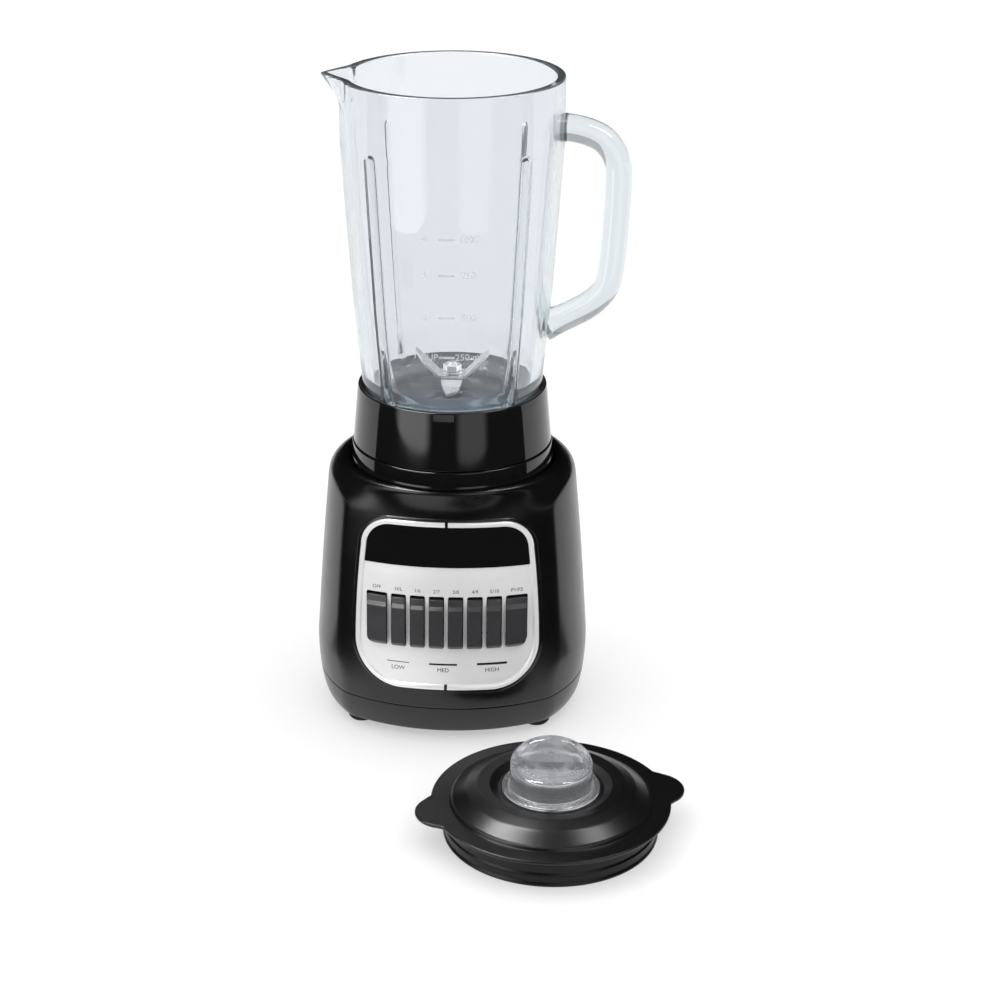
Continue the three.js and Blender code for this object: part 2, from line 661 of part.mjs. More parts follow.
function jarCollar() {
  const { low, high, bottom, top, bore, spigot: [spigotIn, spigotOut], lug } = COLLAR;
  const body = turned([
    [low, bottom], [high, 203], [high - 0.3, top - 1.2], [high - 1.5, top], [54.9, top - 0.8],
    [52.4, 203.4], [bore, 199.4], [bore, 176.7], [spigotIn, 176.7], [spigotIn, 165], [spigotOut, 165],
    [spigotOut, bottom], [low, bottom],
  ], 32);
  const tab = box([spigotOut - 1, spigotOut + 3.4], [-lug / 2, lug / 2], [165, bottom + 1]);
  return join(body, ...[0, 1, 2, 3].map((k) => tab.clone().rotateZ((45 + 90 * k) * RAD)));
}

function sealingGasket() {
  return turned([
    [38.4, 180.9], [45.4, 180.9], [45.4, 183.4], [43, 183.4], [42, 182.8], [41, 183.4], [38.4, 183.4],
    [38.4, 180.9],
  ], 20);
}

function bladeBase() {
  // a pressed cup that fills the jar's neck, with a tower for the bush
  return turned([
    [40.9, 177], [45.6, 177], [45.6, 180.6], [37.8, 180.6], [37.8, 201.6], [36.4, 203], [20, 204.8],
    [12, 206.4], [12, 208.6], [8.3, 208.6], [8.3, 178], [12, 178], [12, 202.6], [35.6, 200.4], [35.6, 179],
    [40.9, 179], [40.9, 177],
  ], 20);
}

function spindleBush() {
  return tube(MOTOR.shaft + GAP, 8, 178, 208);
}

function bladeSpindle() {
  return turned([
    [0, 171.6], [4, 171.6], [4, 208.4], [6, 208.8], [6, 211.7], [3, 211.7], [3, 222.2], [0, 222.2],
  ], 16);
}

function bentBlade(tip, hubZ, tipZ, plan) {
  // a strip bent at the hub, trimmed to its plan outline
  const { thick, hub } = BLADE;
  const slope = Math.atan2(tipZ - hubZ, tip - hub - 2);
  const bend = hub + 2;
  const bendTop = bend - thick * Math.tan(slope / 2);
  const tipTop = tip - thick * Math.sin(slope);
  const side = polygon([
    [-tip, tipZ], [-bend, hubZ], [bend, hubZ], [tip, tipZ], [tipTop, tipZ + thick],
    [bendTop, hubZ + thick], [-bendTop, hubZ + thick], [-tipTop, tipZ + thick],
  ]);
  const strip = prism(side, -12, 12).rotateX(90 * RAD);
  return cut(common(strip, prism(plan, 150, 260)), disc(3.3, 150, 260, 16));
}

function bladePlan(halfOutline) {
  // the same half outline at both ends, turned half round, so that both edges cut the same way
  return polygon([...halfOutline, ...halfOutline.map(([x, y]) => [-x, -y])]);
}

function upperBlade() {
  const plan = bladePlan([[-23.6, 1.4], [-20, 5.2], [-9, 6.6], [9, 6.6], [18, 5.4]]);
  return bentBlade(...BLADE.upper, plan);
}

function lowerBlade() {
  const plan = bladePlan([[-20.6, 2.4], [-16, 4.6], [-8, 6.4], [8, 6.4], [17, 4.6]]);
  return bentBlade(...BLADE.lower, plan).rotateZ(90 * RAD);
}

function bladeNut() {
  const corner = (k) => [BLADE.nut * Math.cos(60 * k * RAD), BLADE.nut * Math.sin(60 * k * RAD)];
  const hexagon = polygon([0, 1, 2, 3, 4, 5].map(corner));
  return cut(prism(hexagon, 217.2, 221), disc(3.3, 210, 230, 16));
}

// ---------------------------------------------------------------- lid pieces
function lidPlan() {
  // the round plate with two rounded lugs, joined to it by hollow curves
  const { plateRadius: r, lugReach, lugHalf } = LID;
  const hollow = 6;
  const root = Math.asin((lugHalf + 5.6) / r);
  const shape = new THREE.Shape();
  const lug = (turn) => {
    const at = (radius, angle) => [radius * Math.cos(angle + turn), radius * Math.sin(angle + turn)];
    const bend = (a, b, c) => shape.bezierCurveTo(...a, ...b, ...c);
    bend(at(r, -root + 0.05), at(r + hollow / 2, -0.3), at(lugReach - 4, -0.2));
    bend(at(lugReach - 0.6, -0.14), at(lugReach, -0.08), at(lugReach, 0));
    bend(at(lugReach, 0.08), at(lugReach - 0.6, 0.14), at(lugReach - 4, 0.2));
    bend(at(r + hollow / 2, 0.3), at(r, root - 0.05), at(r, root));
  };
  shape.moveTo(r * Math.cos(-root), r * Math.sin(-root));
  lug(0);
  shape.absarc(0, 0, r, root, Math.PI - root);
  lug(Math.PI);
  shape.absarc(0, 0, r, Math.PI + root, 2 * Math.PI - root);
  return shape;
}

function lidShell() {
  const { plate: [low, high], domeFoot, crest, well, hole, skirt } = LID;
  const thick = 2.2;
  const dome = turned([
    [hole, 12], [hole + 2, 12], [hole + 2, well[1] - thick], [well[0], well[1] - thick], [34, 26.6],
    [crest[0], crest[1] - thick], [46, 26.4], [51, 22.4], [skirt[0], low], [skirt[0], 1], [skirt[1], 1],
    [skirt[1], low - 0.2], [domeFoot + 6, low], [domeFoot + 6, high], [domeFoot, high + 0.5], [56, 22],
    [51, 25.4], [46, 28.8], crest, [34, 28.8], well, [hole, well[1]], [hole, 12],
  ], 28);
  const sheet = cut(prism(lidPlan(), low, high, 4), disc(domeFoot, low - 1, high + 1, 28));
  return join(dome, sheet).rotateZ(PLACE.lidTurn * RAD);
}

function lidGasket() {
  const inner = LID.skirt[1] + GAP;
  return turned([
    [inner, 0], [60.8, 0], [61.1, 1.2], [60.2, 2.4], [60.1, 6], [61.1, 7.2], [60.2, 8.4], [60.1, 16.6],
    [59.4, 17.5], [inner, 17.5], [inner, 0],
  ], 28);
}

function fillerCap() {
  const { radius, flange, plug, seat, shoulder, top, low, wall } = CAP;
  const shell = turned([
    [plug - wall - 0.4, low], [plug - 0.4, low], [plug, seat - 1], [plug, seat], [flange, seat],
    [flange, seat + 1.8], [radius + 0.2, seat + 2.4], [radius, 38], [radius - 1.6, shoulder - 1],
    [radius - 5, shoulder + 1], [0, shoulder + 1], [0, shoulder - 1.6], [radius - 5, shoulder - 1.6],
    [radius - wall - 0.6, 38], [radius - wall, seat], [plug - wall - 0.4, low],
  ], 24);
  const grip = new THREE.Shape().absellipse(0, shoulder - 1, 19, top - shoulder + 1, 0, Math.PI);
  return join(shell, prism(grip, -3.5, 3.5, 5).rotateX(90 * RAD));
}

// ---------------------------------------------------------------- the whole set
piece("motor_housing", motorHousing(), LOOK.blackSatin);
piece("bottom_cover", bottomCover(), LOOK.blackSatin);
FOOT.at.forEach((at, k) => piece(`foot_${k + 1}`, foot(at), LOOK.rubber));
SCREW.at.forEach((at, k) => piece(`cover_screw_${k + 1}`, coverScrew(at), LOOK.zinc));
piece("jar_seat_ring", seatRing(), LOOK.blackGloss);
piece("bezel_frame", bezelFrame(), LOOK.brightMetal);
piece("control_panel", controlPanel(), LOOK.brushed);
piece("label_plate", labelPlate(), LOOK.blackGloss);
keyPlaces().forEach((place) => piece(place[0], key(place), LOOK.keyGrey));
piece("switch_block", switchBlock(), LOOK.nylon);
piece("cord_gland", cordGland(), LOOK.rubber);

piece("stator_core", statorCore(), LOOK.lamination);
mirrored.forEach(([side, s]) => piece(`field_coil_${side}`, fieldCoil(s), LOOK.copper));
piece("armature_core", armatureCore(), LOOK.lamination);
piece("armature_winding", armatureWinding(), LOOK.copper);
piece("motor_shaft", motorShaft(), LOOK.steel);
piece("commutator", commutator(), LOOK.copper);
piece("cooling_fan", coolingFan(), LOOK.nylon);
piece("upper_bearing_bracket", bracket(MOTOR.upperPlate, MOTOR.stator[3] + GAP, 127, 24), LOOK.zinc);
piece("lower_bearing_bracket", bracket(MOTOR.lowerPlate, 32, MOTOR.stator[2] - GAP, 14), LOOK.zinc);
piece("upper_bush", bush(123.4, 131.6), LOOK.brass);
piece("lower_bush", bush(27.4, 35.6), LOOK.brass);
[["front", -1], ["rear", 1]].forEach(([side, s]) => {
  piece(`carbon_brush_${side}`, brush(s), LOOK.carbon);
  piece(`brush_holder_${side}`, brushHolder(s), LOOK.brass);
});
[1, -1].flatMap((sx) => [1, -1].map((sy) => [sx, sy])).forEach(([sx, sy], k) => (
  piece(`motor_grommet_${k + 1}`, grommet(sx, sy), LOOK.rubber)
));
piece("drive_coupling", driveCoupling(), LOOK.nylon);
piece("shaft_slinger", slinger(), LOOK.rubber);

piece("glass_jar", glassJar(), LOOK.glass);
piece("jar_collar", jarCollar(), LOOK.blackGloss);
piece("sealing_gasket", sealingGasket(), LOOK.silicone);
piece("blade_base", bladeBase(), LOOK.steel);
piece("spindle_bush", spindleBush(), LOOK.brass);
piece("blade_spindle", bladeSpindle(), LOOK.steel);
piece("upper_blade", upperBlade(), LOOK.steel);
piece("lower_blade", lowerBlade(), LOOK.steel);
piece("blade_washer", tube(3.3, 6, 215.8, 216.9), LOOK.steel);
piece("blade_nut", bladeNut(), LOOK.steel);
piece("driven_coupling", drivenCoupling(), LOOK.nylon);

piece("lid_shell", lidShell(), LOOK.blackSatin, lidGroup);
piece("lid_gasket", lidGasket(), LOOK.blackGloss, lidGroup);
piece("filler_cap", fillerCap(), LOOK.clear, lidGroup);

export default blender;
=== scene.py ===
"""Looks for a countertop blender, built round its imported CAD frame.

Shapes are drawn in millimetres about the motor axis, or about the lid's own axis, and become the
frame's metres when a piece is made. Angles about an axis are in degrees from the front, -Y.
"""

import json
import math
from bisect import bisect_right

import bmesh
import bpy
from mathutils import Matrix, Vector


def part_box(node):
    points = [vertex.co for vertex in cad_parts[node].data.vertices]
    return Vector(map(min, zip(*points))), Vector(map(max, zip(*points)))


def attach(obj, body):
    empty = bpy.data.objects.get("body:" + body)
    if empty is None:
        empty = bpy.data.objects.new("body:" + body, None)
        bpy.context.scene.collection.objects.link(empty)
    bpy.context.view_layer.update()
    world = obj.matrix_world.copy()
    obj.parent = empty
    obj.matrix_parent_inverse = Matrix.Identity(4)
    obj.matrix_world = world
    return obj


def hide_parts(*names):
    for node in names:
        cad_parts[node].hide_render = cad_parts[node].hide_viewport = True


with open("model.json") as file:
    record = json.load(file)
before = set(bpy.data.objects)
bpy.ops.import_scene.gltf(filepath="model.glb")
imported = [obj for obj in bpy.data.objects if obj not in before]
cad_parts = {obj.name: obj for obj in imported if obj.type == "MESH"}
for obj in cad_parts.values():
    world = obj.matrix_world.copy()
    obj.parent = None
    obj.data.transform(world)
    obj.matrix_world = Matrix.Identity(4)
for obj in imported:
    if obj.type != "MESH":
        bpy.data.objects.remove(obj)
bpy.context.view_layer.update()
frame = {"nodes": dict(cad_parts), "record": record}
nodes = frame["nodes"]

# ---------------------------------------------------------------- driving dimensions
MM = 0.001


def axis_of(node):
    """the upright axis through the middle of a round CAD node, as a point on the counter"""
    low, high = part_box(node)
    middle = (low + high) / 2
    return Vector((middle.x, middle.y, 0))


BASE_AXIS = axis_of("jar_seat_ring")
LID_AXIS = axis_of("lid_gasket")
LID_TURN = 15
PLATE_RADIUS = 67.9
LUG_CENTRE, LUG_RADIUS = 61, 17

BODY = {"bottom": 5, "seam": 24.6, "gap": 0.3, "lip": 163, "deck": 158, "deck_under": 155.2}
BODY_WALL = 2.8
WELL_RADIUS = 62.8
COUPLING_HOLE = 24.5
BODY_OUTLINE = [
    (77, 5), (80.6, 12), (83, 25), (84, 42), (83, 60), (79.8, 104), (76.3, 143),
    (75.3, 152.5), (74.2, 156.5), (71.8, 159.8), (68.6, 162), (66, 163),
]
FRONT_LEAN = math.radians(6.1)
FRONT_REACH, FRONT_REACH_AT = 74.5, 33
FRONT_BOW = 115
TOP_BOW = 77
TUCK, TUCK_BELOW, TUCK_HEIGHT = 12.4, 37, 32
FLARE, FLARE_FROM = 5.8, 143.5
CREASE_RADIUS, SHOULDER_RADIUS = 1.5, 7
FEET = ((54, -38), (54, 42), (-54, 42), (-54, -38))

PANEL_Z = 80
PANEL_TOP, PANEL_BOTTOM = 63.4, -42
PANEL_HALF_TOP, PANEL_HALF_LOW = 51.6, 55.4
TOP_CORNER, LOW_CORNER = 18, 28
BEZEL_BORDER = 3.4
NOTCH_WIDTH = 1.8
LABEL_FROM = 35.4

KEY_HALF = 15.2
KEY_PITCH, KEY_WIDTH = 11.45, 8.2
END_KEY_INNER, END_KEY_OUTER = 36, 47.8
SLOT_GAP = 0.5
SLOT_ABOVE = 1.8
PRINT_THICK = 0.04

RIM = 395
RIB_ANGLES = (45, 135, 225, 315)
RIB_TOP = 357
SPOUT_ANGLE, SPOUT_HALF_ANGLE = 270, 19
SPOUT_FROM, SPOUT_REACH = 377, 11
HANDLE_HALF_DEEP, HANDLE_HALF_WIDE, HANDLE_SQUARENESS = 7.7, 9.3, 2.5
CAP_RADIUS, CAP_WALL = 23.3, 2.1
CAP_SHOULDER, CAP_CROWN = 38, 5.4
# the cap's grip: half its length, its rise, half its depth, and the powers that shape its section
GRIP_FROM = 42
GRIP_OUTSIDE = (23.1, 17.9, 9.4, 2.2, 0.75)
GRIP_INSIDE = (17.6, 14.6, 8.2, 3, 0.5)
CORD_HEIGHT = 36

FLOOR_HALF = 40.0  # in metres, like the rest of the stage
SOFTBOX_FADE = 0.24


# ---------------------------------------------------------------- outlines
def blend(low, high, value):
    """0 below low and 1 above high, with a smooth change between"""
    share = min(1, max(0, (value - low) / (high - low)))
    return share * share * (3 - 2 * share)


def soft_min(first, second, reach):
    """the smaller of two values, with the change from one to the other rounded over the reach"""
    overlap = max(reach - abs(first - second), 0) / reach
    return min(first, second) - overlap * overlap * reach / 4


def apart(angle, other):
    """the angle between two directions, in degrees"""
    return abs((angle - other + 180) % 360 - 180)


def arc(cx, cy, radius, start, end, steps):
    """points on an arc, by angles in degrees"""
    angles = [math.radians(start + (end - start) * k / steps) for k in range(steps + 1)]
    return [(cx + radius * math.cos(a), cy + radius * math.sin(a)) for a in angles]


def rounded(corners, closed=False, step=12):
    """a line through (x, y, radius) corners, with each corner turned as an arc of its radius"""
    points = []
    count = len(corners)
    for k, (x, y, radius) in enumerate(corners):
        if radius == 0 or (not closed and k in (0, count - 1)):
            points.append((x, y))
            continue
        here = Vector((x, y))
        back = Vector(corners[k - 1][:2]) - here
        ahead = Vector(corners[(k + 1) % count][:2]) - here
        half = back.angle(ahead) / 2
        reach = min(radius / math.tan(half), 0.48 * back.length, 0.48 * ahead.length)
        middle = here + (back.normalized() + ahead.normalized()).normalized() * reach / math.cos(half)
        start = here + back.normalized() * reach - middle
        end = here + ahead.normalized() * reach - middle
        turn = start.angle_signed(end)
        steps = max(2, math.ceil(abs(math.degrees(turn)) / step))
        for j in range(steps + 1):
            at = middle + Matrix.Rotation(-turn * j / steps, 2) @ start
            points.append((at.x, at.y))
    return points


def spline(points, steps):
    """a smooth curve through points of any dimension, with the given steps in each span"""
    knots = [Vector(p) for p in points]
    knots = [2 * knots[0] - knots[1], *knots, 2 * knots[-1] - knots[-2]]
    curve = []
    for a, b, c, d in zip(knots, knots[1:], knots[2:], knots[3:]):
        for k in range(steps):
            t = k / steps
            pull = (c - a) * t + (2 * a - 5 * b + 4 * c - d) * t**2 + (3 * b - a - 3 * c + d) * t**3
            curve.append(b + pull / 2)
    return [*curve, knots[-2]]


def spaced(line, gap):
    """the same line with points added, so that none are further apart than the gap at that height"""
    points = [line[0]]
    for (r0, z0), (r1, z1) in zip(line, line[1:]):
        steps = max(1, math.ceil(math.hypot(r1 - r0, z1 - z0) / gap((z0 + z1) / 2)))
        points += [(r0 + (r1 - r0) * k / steps, z0 + (z1 - z0) * k / steps) for k in range(1, steps + 1)]
    return points


# ---------------------------------------------------------------- mesh helpers
def skin(rings, wrap=True, loop=False, caps=False):
    """a mesh of quads through rings that have the same number of points"""
    mesh = bmesh.new()
    rows = [[mesh.verts.new(point) for point in ring] for ring in rings]
    count = len(rings[0])
    for j in range(len(rows) if loop else len(rows) - 1):
        here, there = rows[j], rows[(j + 1) % len(rows)]
        for i in range(count if wrap else count - 1):
            k = (i + 1) % count
            mesh.faces.new((here[i], here[k], there[k], there[i]))
    if caps:
        mesh.faces.new(rows[0])
        mesh.faces.new(rows[-1])
    bmesh.ops.remove_doubles(mesh, verts=mesh.verts, dist=1e-3)
    bmesh.ops.recalc_face_normals(mesh, faces=mesh.faces)
    return mesh


def add_tube(mesh, rings):
    """adds a tube through rings of points to a mesh, with both of its ends filled"""
    rows = [[mesh.verts.new(point) for point in ring] for ring in rings]
    count = len(rings[0])
    for here, there in zip(rows, rows[1:]):
        for i in range(count):
            k = (i + 1) % count
            mesh.faces.new((here[i], here[k], there[k], there[i]))
    mesh.faces.new(rows[0][::-1])
    mesh.faces.new(rows[-1])


def polar(radius, angle, z):
    """a point at an angle in degrees from the front, turning towards +X"""
    return (radius * math.sin(math.radians(angle)), -radius * math.cos(math.radians(angle)), z)


def turned(profile, steps=128, loop=True):
    """a mesh turned from a profile of (radius, z), closed on itself unless it ends on the axis"""
    angles = [360 * k / steps for k in range(steps)]
    return skin([[polar(r, a, z) for a in angles] for r, z in profile], loop=loop)


def bevelled(mesh, width, segments=3, angle=35):
    """the mesh with its sharp edges rounded"""
    limit = math.radians(angle)
    edges = [e for e in mesh.edges if len(e.link_faces) == 2 and e.calc_face_angle(0) > limit]
    bmesh.ops.bevel(
        mesh, geom=edges, offset=width, segments=segments, profile=0.5, affect="EDGES", clamp_overlap=True
    )
    return mesh


def temporary(mesh):
    """an object that holds a mesh while others are cut from it or joined to it"""
    data = bpy.data.meshes.new("temporary")
    mesh.to_mesh(data)
    mesh.free()
    holder = bpy.data.objects.new("temporary", data)
    bpy.context.scene.collection.objects.link(holder)
    return holder


def combined(mesh, others, operation):
    """the mesh with others cut from it, joined to it, or kept in common with it"""
    target = temporary(mesh)
    tools = [temporary(other) for other in others]
    for tool in tools:
        step = target.modifiers.new("step", "BOOLEAN")
        step.operation = operation
        step.solver = "EXACT"
        step.object = tool
    bpy.context.view_layer.update()
    result = bmesh.new()
    result.from_object(target, bpy.context.evaluated_depsgraph_get())
    for holder in [target, *tools]:
        bpy.data.meshes.remove(holder.data)
    return result


def shade_flats(piece):
    """normals that follow the large faces, so that a flat stays flat right up to its rounded edge"""
    weighted = piece.modifiers.new("weighted", "WEIGHTED_NORMAL")
    weighted.keep_sharp = True


def make(name, mesh, material, body, replaces=(), axis=BASE_AXIS, crease=34):
    """a finished piece from a mesh in millimetres about an axis"""
    mesh.transform(Matrix.Translation(axis) @ Matrix.Scale(MM, 4))
    for face in mesh.faces:
        face.smooth = True
    for edge in mesh.edges:
        edge.smooth = edge.calc_face_angle(0) < math.radians(crease)
    data = bpy.data.meshes.new(name)
    mesh.to_mesh(data)
    mesh.free()
    data.materials.append(material)
    piece = bpy.data.objects.new(name, data)
    bpy.context.scene.collection.objects.link(piece)
    shade_flats(piece)
    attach(piece, body)
    if replaces:
        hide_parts(*replaces)
    return piece


# ---------------------------------------------------------------- materials
def shading(name, colour, roughness, metallic=0.0, spread=0.05, grain=1500, bump=0.05, **more):
    """a surface with uneven roughness and tint, and a fine bump, all from noise in the object's space

    more holds stretch, for grain that runs one way, tint, for the share that the colour varies by, and
    any number or colour that one of the shader's own sockets keeps all over.
    """
    stretch = more.pop("stretch", (1, 1, 1))
    tint = more.pop("tint", 0.12)
    material = bpy.data.materials.new(name)
    material.use_nodes = True
    tree = material.node_tree
    shader = tree.nodes["Principled BSDF"]
    shader.inputs["Metallic"].default_value = metallic
    for socket, value in more.items():
        shader.inputs[socket.replace("_", " ").title().replace("Ior", "IOR")].default_value = value

    place = tree.nodes.new("ShaderNodeTexCoord")
    mapping = tree.nodes.new("ShaderNodeMapping")
    mapping.inputs["Scale"].default_value = stretch
    tree.links.new(place.outputs["Object"], mapping.inputs["Vector"])

    def noise(scale, detail):
        node = tree.nodes.new("ShaderNodeTexNoise")
        node.inputs["Scale"].default_value = scale
        node.inputs["Detail"].default_value = detail
        tree.links.new(mapping.outputs["Vector"], node.inputs["Vector"])
        return node.outputs["Fac"]

    smudge = noise(grain / 40, 3)
    rough = tree.nodes.new("ShaderNodeMapRange")
    rough.inputs["From Min"].default_value = 0.3
    rough.inputs["From Max"].default_value = 0.7
    rough.inputs["To Min"].default_value = max(0.0, roughness - spread)
    rough.inputs["To Max"].default_value = roughness + spread
    tree.links.new(smudge, rough.inputs["Value"])
    tree.links.new(rough.outputs["Result"], shader.inputs["Roughness"])

    ramp = tree.nodes.new("ShaderNodeValToRGB")
    ramp.color_ramp.elements[0].color = (*[c * (1 - tint) for c in colour], 1)
    ramp.color_ramp.elements[1].color = (*[min(1, c * (1 + tint)) for c in colour], 1)
    tree.links.new(noise(grain / 12, 4), ramp.inputs["Fac"])
    tree.links.new(ramp.outputs["Color"], shader.inputs["Base Color"])

    relief = tree.nodes.new("ShaderNodeBump")
    relief.inputs["Strength"].default_value = bump
    relief.inputs["Distance"].default_value = 0.0001
    tree.links.new(noise(grain, 3), relief.inputs["Height"])
    tree.links.new(relief.outputs["Normal"], shader.inputs["Normal"])
    return material


def absorbing(material, colour, density):
    """the material takes colour with the depth of it that light goes through"""
    tree = material.node_tree
    volume = tree.nodes.new("ShaderNodeVolumeAbsorption")
    volume.inputs["Color"].default_value = (*colour, 1)
    volume.inputs["Density"].default_value = density
    tree.links.new(volume.outputs["Volume"], tree.nodes["Material Output"].inputs["Volume"])
    return material


def pressed_glass():
    glass = shading(
        "pressed_glass", (0.925, 0.928, 0.955), 0.01, spread=0.01, grain=260, bump=0.03, tint=0.008,
        transmission_weight=0.955, ior=1.5, specular_ior_level=0.3,
    )
    return absorbing(glass, (0.4, 0.58, 0.6), 18)


def clear_plastic():
    clear = shading(
        "clear_plastic", (0.97, 0.97, 0.98), 0.01, spread=0.008, grain=400, bump=0.015, tint=0.01,
        transmission_weight=0.96, ior=1.46,
    )
    return absorbing(clear, (0.8, 0.84, 0.88), 10)


LOOK = {
    "housing_black": shading(
        "satin_housing", (0.0036, 0.0036, 0.004), 0.24, spread=0.025, grain=2600, bump=0.02,
    ),
    "gloss_black": shading(
        "polished_black", (0.007, 0.007, 0.0074), 0.06, spread=0.02, bump=0.01,
    ),
    "lid_black": shading(
        "fine_satin_lid", (0.0055, 0.0055, 0.006), 0.3, spread=0.012, grain=2600, bump=0.05,
    ),
    "key_grey": shading(
        "satin_key", (0.036, 0.0365, 0.039), 0.34, grain=2400, bump=0.06, specular_ior_level=0.4
    ),
    "bezel_silver": shading(
        "bright_bezel", (0.97, 0.97, 0.975), 0.22, metallic=0.2, spread=0.04, bump=0.02, tint=0.03
    ),
    "panel_silver": shading(
        "brushed_panel", (0.92, 0.92, 0.925), 0.36, metallic=0.18, spread=0.06, grain=2000, bump=0.1,
        tint=0.05, stretch=(0.035, 1, 1),
    ),
    "jar_glass": pressed_glass(),
    "cap_clear": clear_plastic(),
    "foot_rubber": shading(
        "foot_rubber", (0.012, 0.012, 0.013), 0.78, grain=1800, bump=0.3, specular_ior_level=0.3
    ),
    "seal_silicone": shading("silicone", (0.6, 0.63, 0.64), 0.5, bump=0.08, subsurface_weight=0.2),
    "blade_steel": shading(
        "ground_steel", (0.95, 0.955, 0.96), 0.28, metallic=1.0, spread=0.07, grain=2400, bump=0.1,
        stretch=(0.12, 1, 1),
    ),
    "plated_steel": shading("plated_steel", (0.5, 0.51, 0.53), 0.34, metallic=1.0, spread=0.1, bump=0.1),
    "laminated_iron": shading(
        "laminations", (0.2, 0.21, 0.23), 0.46, metallic=0.9, grain=1600, bump=0.8, stretch=(0.02, 0.02, 1)
    ),
    "copper_wire": shading(
        "enamelled_wire", (0.5, 0.19, 0.07), 0.28, metallic=0.9, grain=1300, bump=0.9, stretch=(1, 1, 0.03)
    ),
    "bearing_bronze": shading("sintered_bronze", (0.5, 0.35, 0.14), 0.42, metallic=1.0, bump=0.3),
    "brush_carbon": shading("pressed_carbon", (0.02, 0.02, 0.022), 0.6, bump=0.5),
    "nylon_white": shading("moulded_nylon", (0.72, 0.7, 0.63), 0.45, bump=0.12, subsurface_weight=0.1),
}
RUBBER_SEAL = shading(
    "black_seal", (0.003, 0.003, 0.0032), 0.34, spread=0.02, bump=0.02, specular_ior_level=0.3
)
# a dark, bluish steel for the cup, far darker than real steel: the steel's own grey with painted shade for
# the dim floor of the jar
CUP_STEEL_WITH_PAINTED_SHADE = shading("steel_with_painted_shade", (0.12, 0.14, 0.165), 0.14, metallic=1.0, grain=900, bump=0.08)
PRINT = shading("panel_print", (0.02, 0.02, 0.022), 0.6, bump=0.03, specular_ior_level=0.2)
FAINT_PRINT = shading("faint_print", (0.1, 0.1, 0.104), 0.6, bump=0.03, specular_ior_level=0.2)
MARK = shading(
    "raised_mark", (0.84, 0.86, 0.9), 0.3, bump=0.05, tint=0.02, transmission_weight=0.6, ior=1.25
)


# ---------------------------------------------------------------- the base's outer form
BODY_CURVE = spline(BODY_OUTLINE, 8)
BODY_HEIGHTS = [p.y for p in BODY_CURVE]


def turned_radius(z):
    """the radius of the body's round sides and back at a height"""
    k = min(max(bisect_right(BODY_HEIGHTS, z), 1), len(BODY_CURVE) - 1)
    low, high = BODY_CURVE[k - 1], BODY_CURVE[k]
    return low.x + (high.x - low.x) * (z - low.y) / (high.y - low.y)


def front_depth(z):
    """how far the front stands out from the motor axis on the centre line"""
    straight = FRONT_REACH - (z - FRONT_REACH_AT) * math.tan(FRONT_LEAN)
    tuck = TUCK * (max(0, TUCK_BELOW - z) / TUCK_HEIGHT) ** 1.8
    flare = FLARE * (max(0, z - FLARE_FROM) / (BODY["lip"] - FLARE_FROM)) ** 2
    return straight - tuck + flare


def front_radius(angle, z):
    """how far the bowed front is from the motor axis, at an angle and a height"""
    bow = FRONT_BOW + (TOP_BOW - FRONT_BOW) * blend(FLARE_FROM, BODY["lip"], z)
    centre = bow - front_depth(z)
    across = centre * math.sin(math.radians(angle))
    return -centre * math.cos(math.radians(angle)) + math.sqrt(bow**2 - across**2)


def body_point(angle, z, inset=0.0):
    """a point of the round side or the bowed front, whichever is nearer, with a rounded crease"""
    rounding = CREASE_RADIUS + (SHOULDER_RADIUS - CREASE_RADIUS) * blend(146, 161, z)
    radius = soft_min(turned_radius(z), front_radius(angle, z), rounding)
    return polar(radius - inset, angle, z)


def crease_angle(z):
    """where the bowed front meets the round side, at a height below the shoulder"""
    height = min(z, 155)
    low, high = 20, 90
    for _ in range(30):
        middle = (low + high) / 2
        if front_radius(middle, height) < turned_radius(height):
            low = middle
        else:
            high = middle
    return low


def body_angles(z):
    """angles right round the body, closer together on both sides of each crease"""
    crease = crease_angle(z)
    close = (0, 0.3, 0.7, 1.2, 1.8, 2.6, 3.6)
    start, end = crease - close[-1], crease + close[-1]
    half = [start * k / 30 for k in range(30)] + [crease - c for c in reversed(close)]
    half += [crease + c for c in close[1:]] + [end + (180 - end) * k / 60 for k in range(1, 61)]
    return half + [360 - a for a in reversed(half[1:-1])]


def body_ring(z, inset=0.0):
    return [body_point(angle, z, inset) for angle in body_angles(z)]


def round_ring(radius, z):
    """a true circle with as many points as a ring of the body"""
    return [polar(radius, angle, z) for angle in body_angles(BODY["lip"])]


def levels_between(low, high):
    """heights for the body's rings, at the curve's own points and at most 4 apart"""
    inside = [z for z in BODY_HEIGHTS if low + 0.8 < z < high - 0.1]
    return [z for _, z in spaced([(0, z) for z in [low, *inside, high]], lambda z: 4)]


# ---------------------------------------------------------------- the control panel's own frame
PANEL_ORIGIN = Vector((0, -front_depth(PANEL_Z), PANEL_Z))
PANEL_UP = Vector((0, math.sin(FRONT_LEAN), math.cos(FRONT_LEAN)))
PANEL_OUT = Vector((0, -math.cos(FRONT_LEAN), math.sin(FRONT_LEAN)))


def sag(x):
    """how far the bowed panel has fallen back at x"""
    return (FRONT_BOW - math.sqrt(FRONT_BOW**2 - x**2)) * math.cos(FRONT_LEAN)


def on_panel(x, v, w, bowed=True):
    """x across, v up the lean from the key row, w out of the panel's surface"""
    depth = w - (sag(x) if bowed else 0)
    return PANEL_ORIGIN + Vector((x, 0, 0)) + PANEL_UP * v + PANEL_OUT * depth


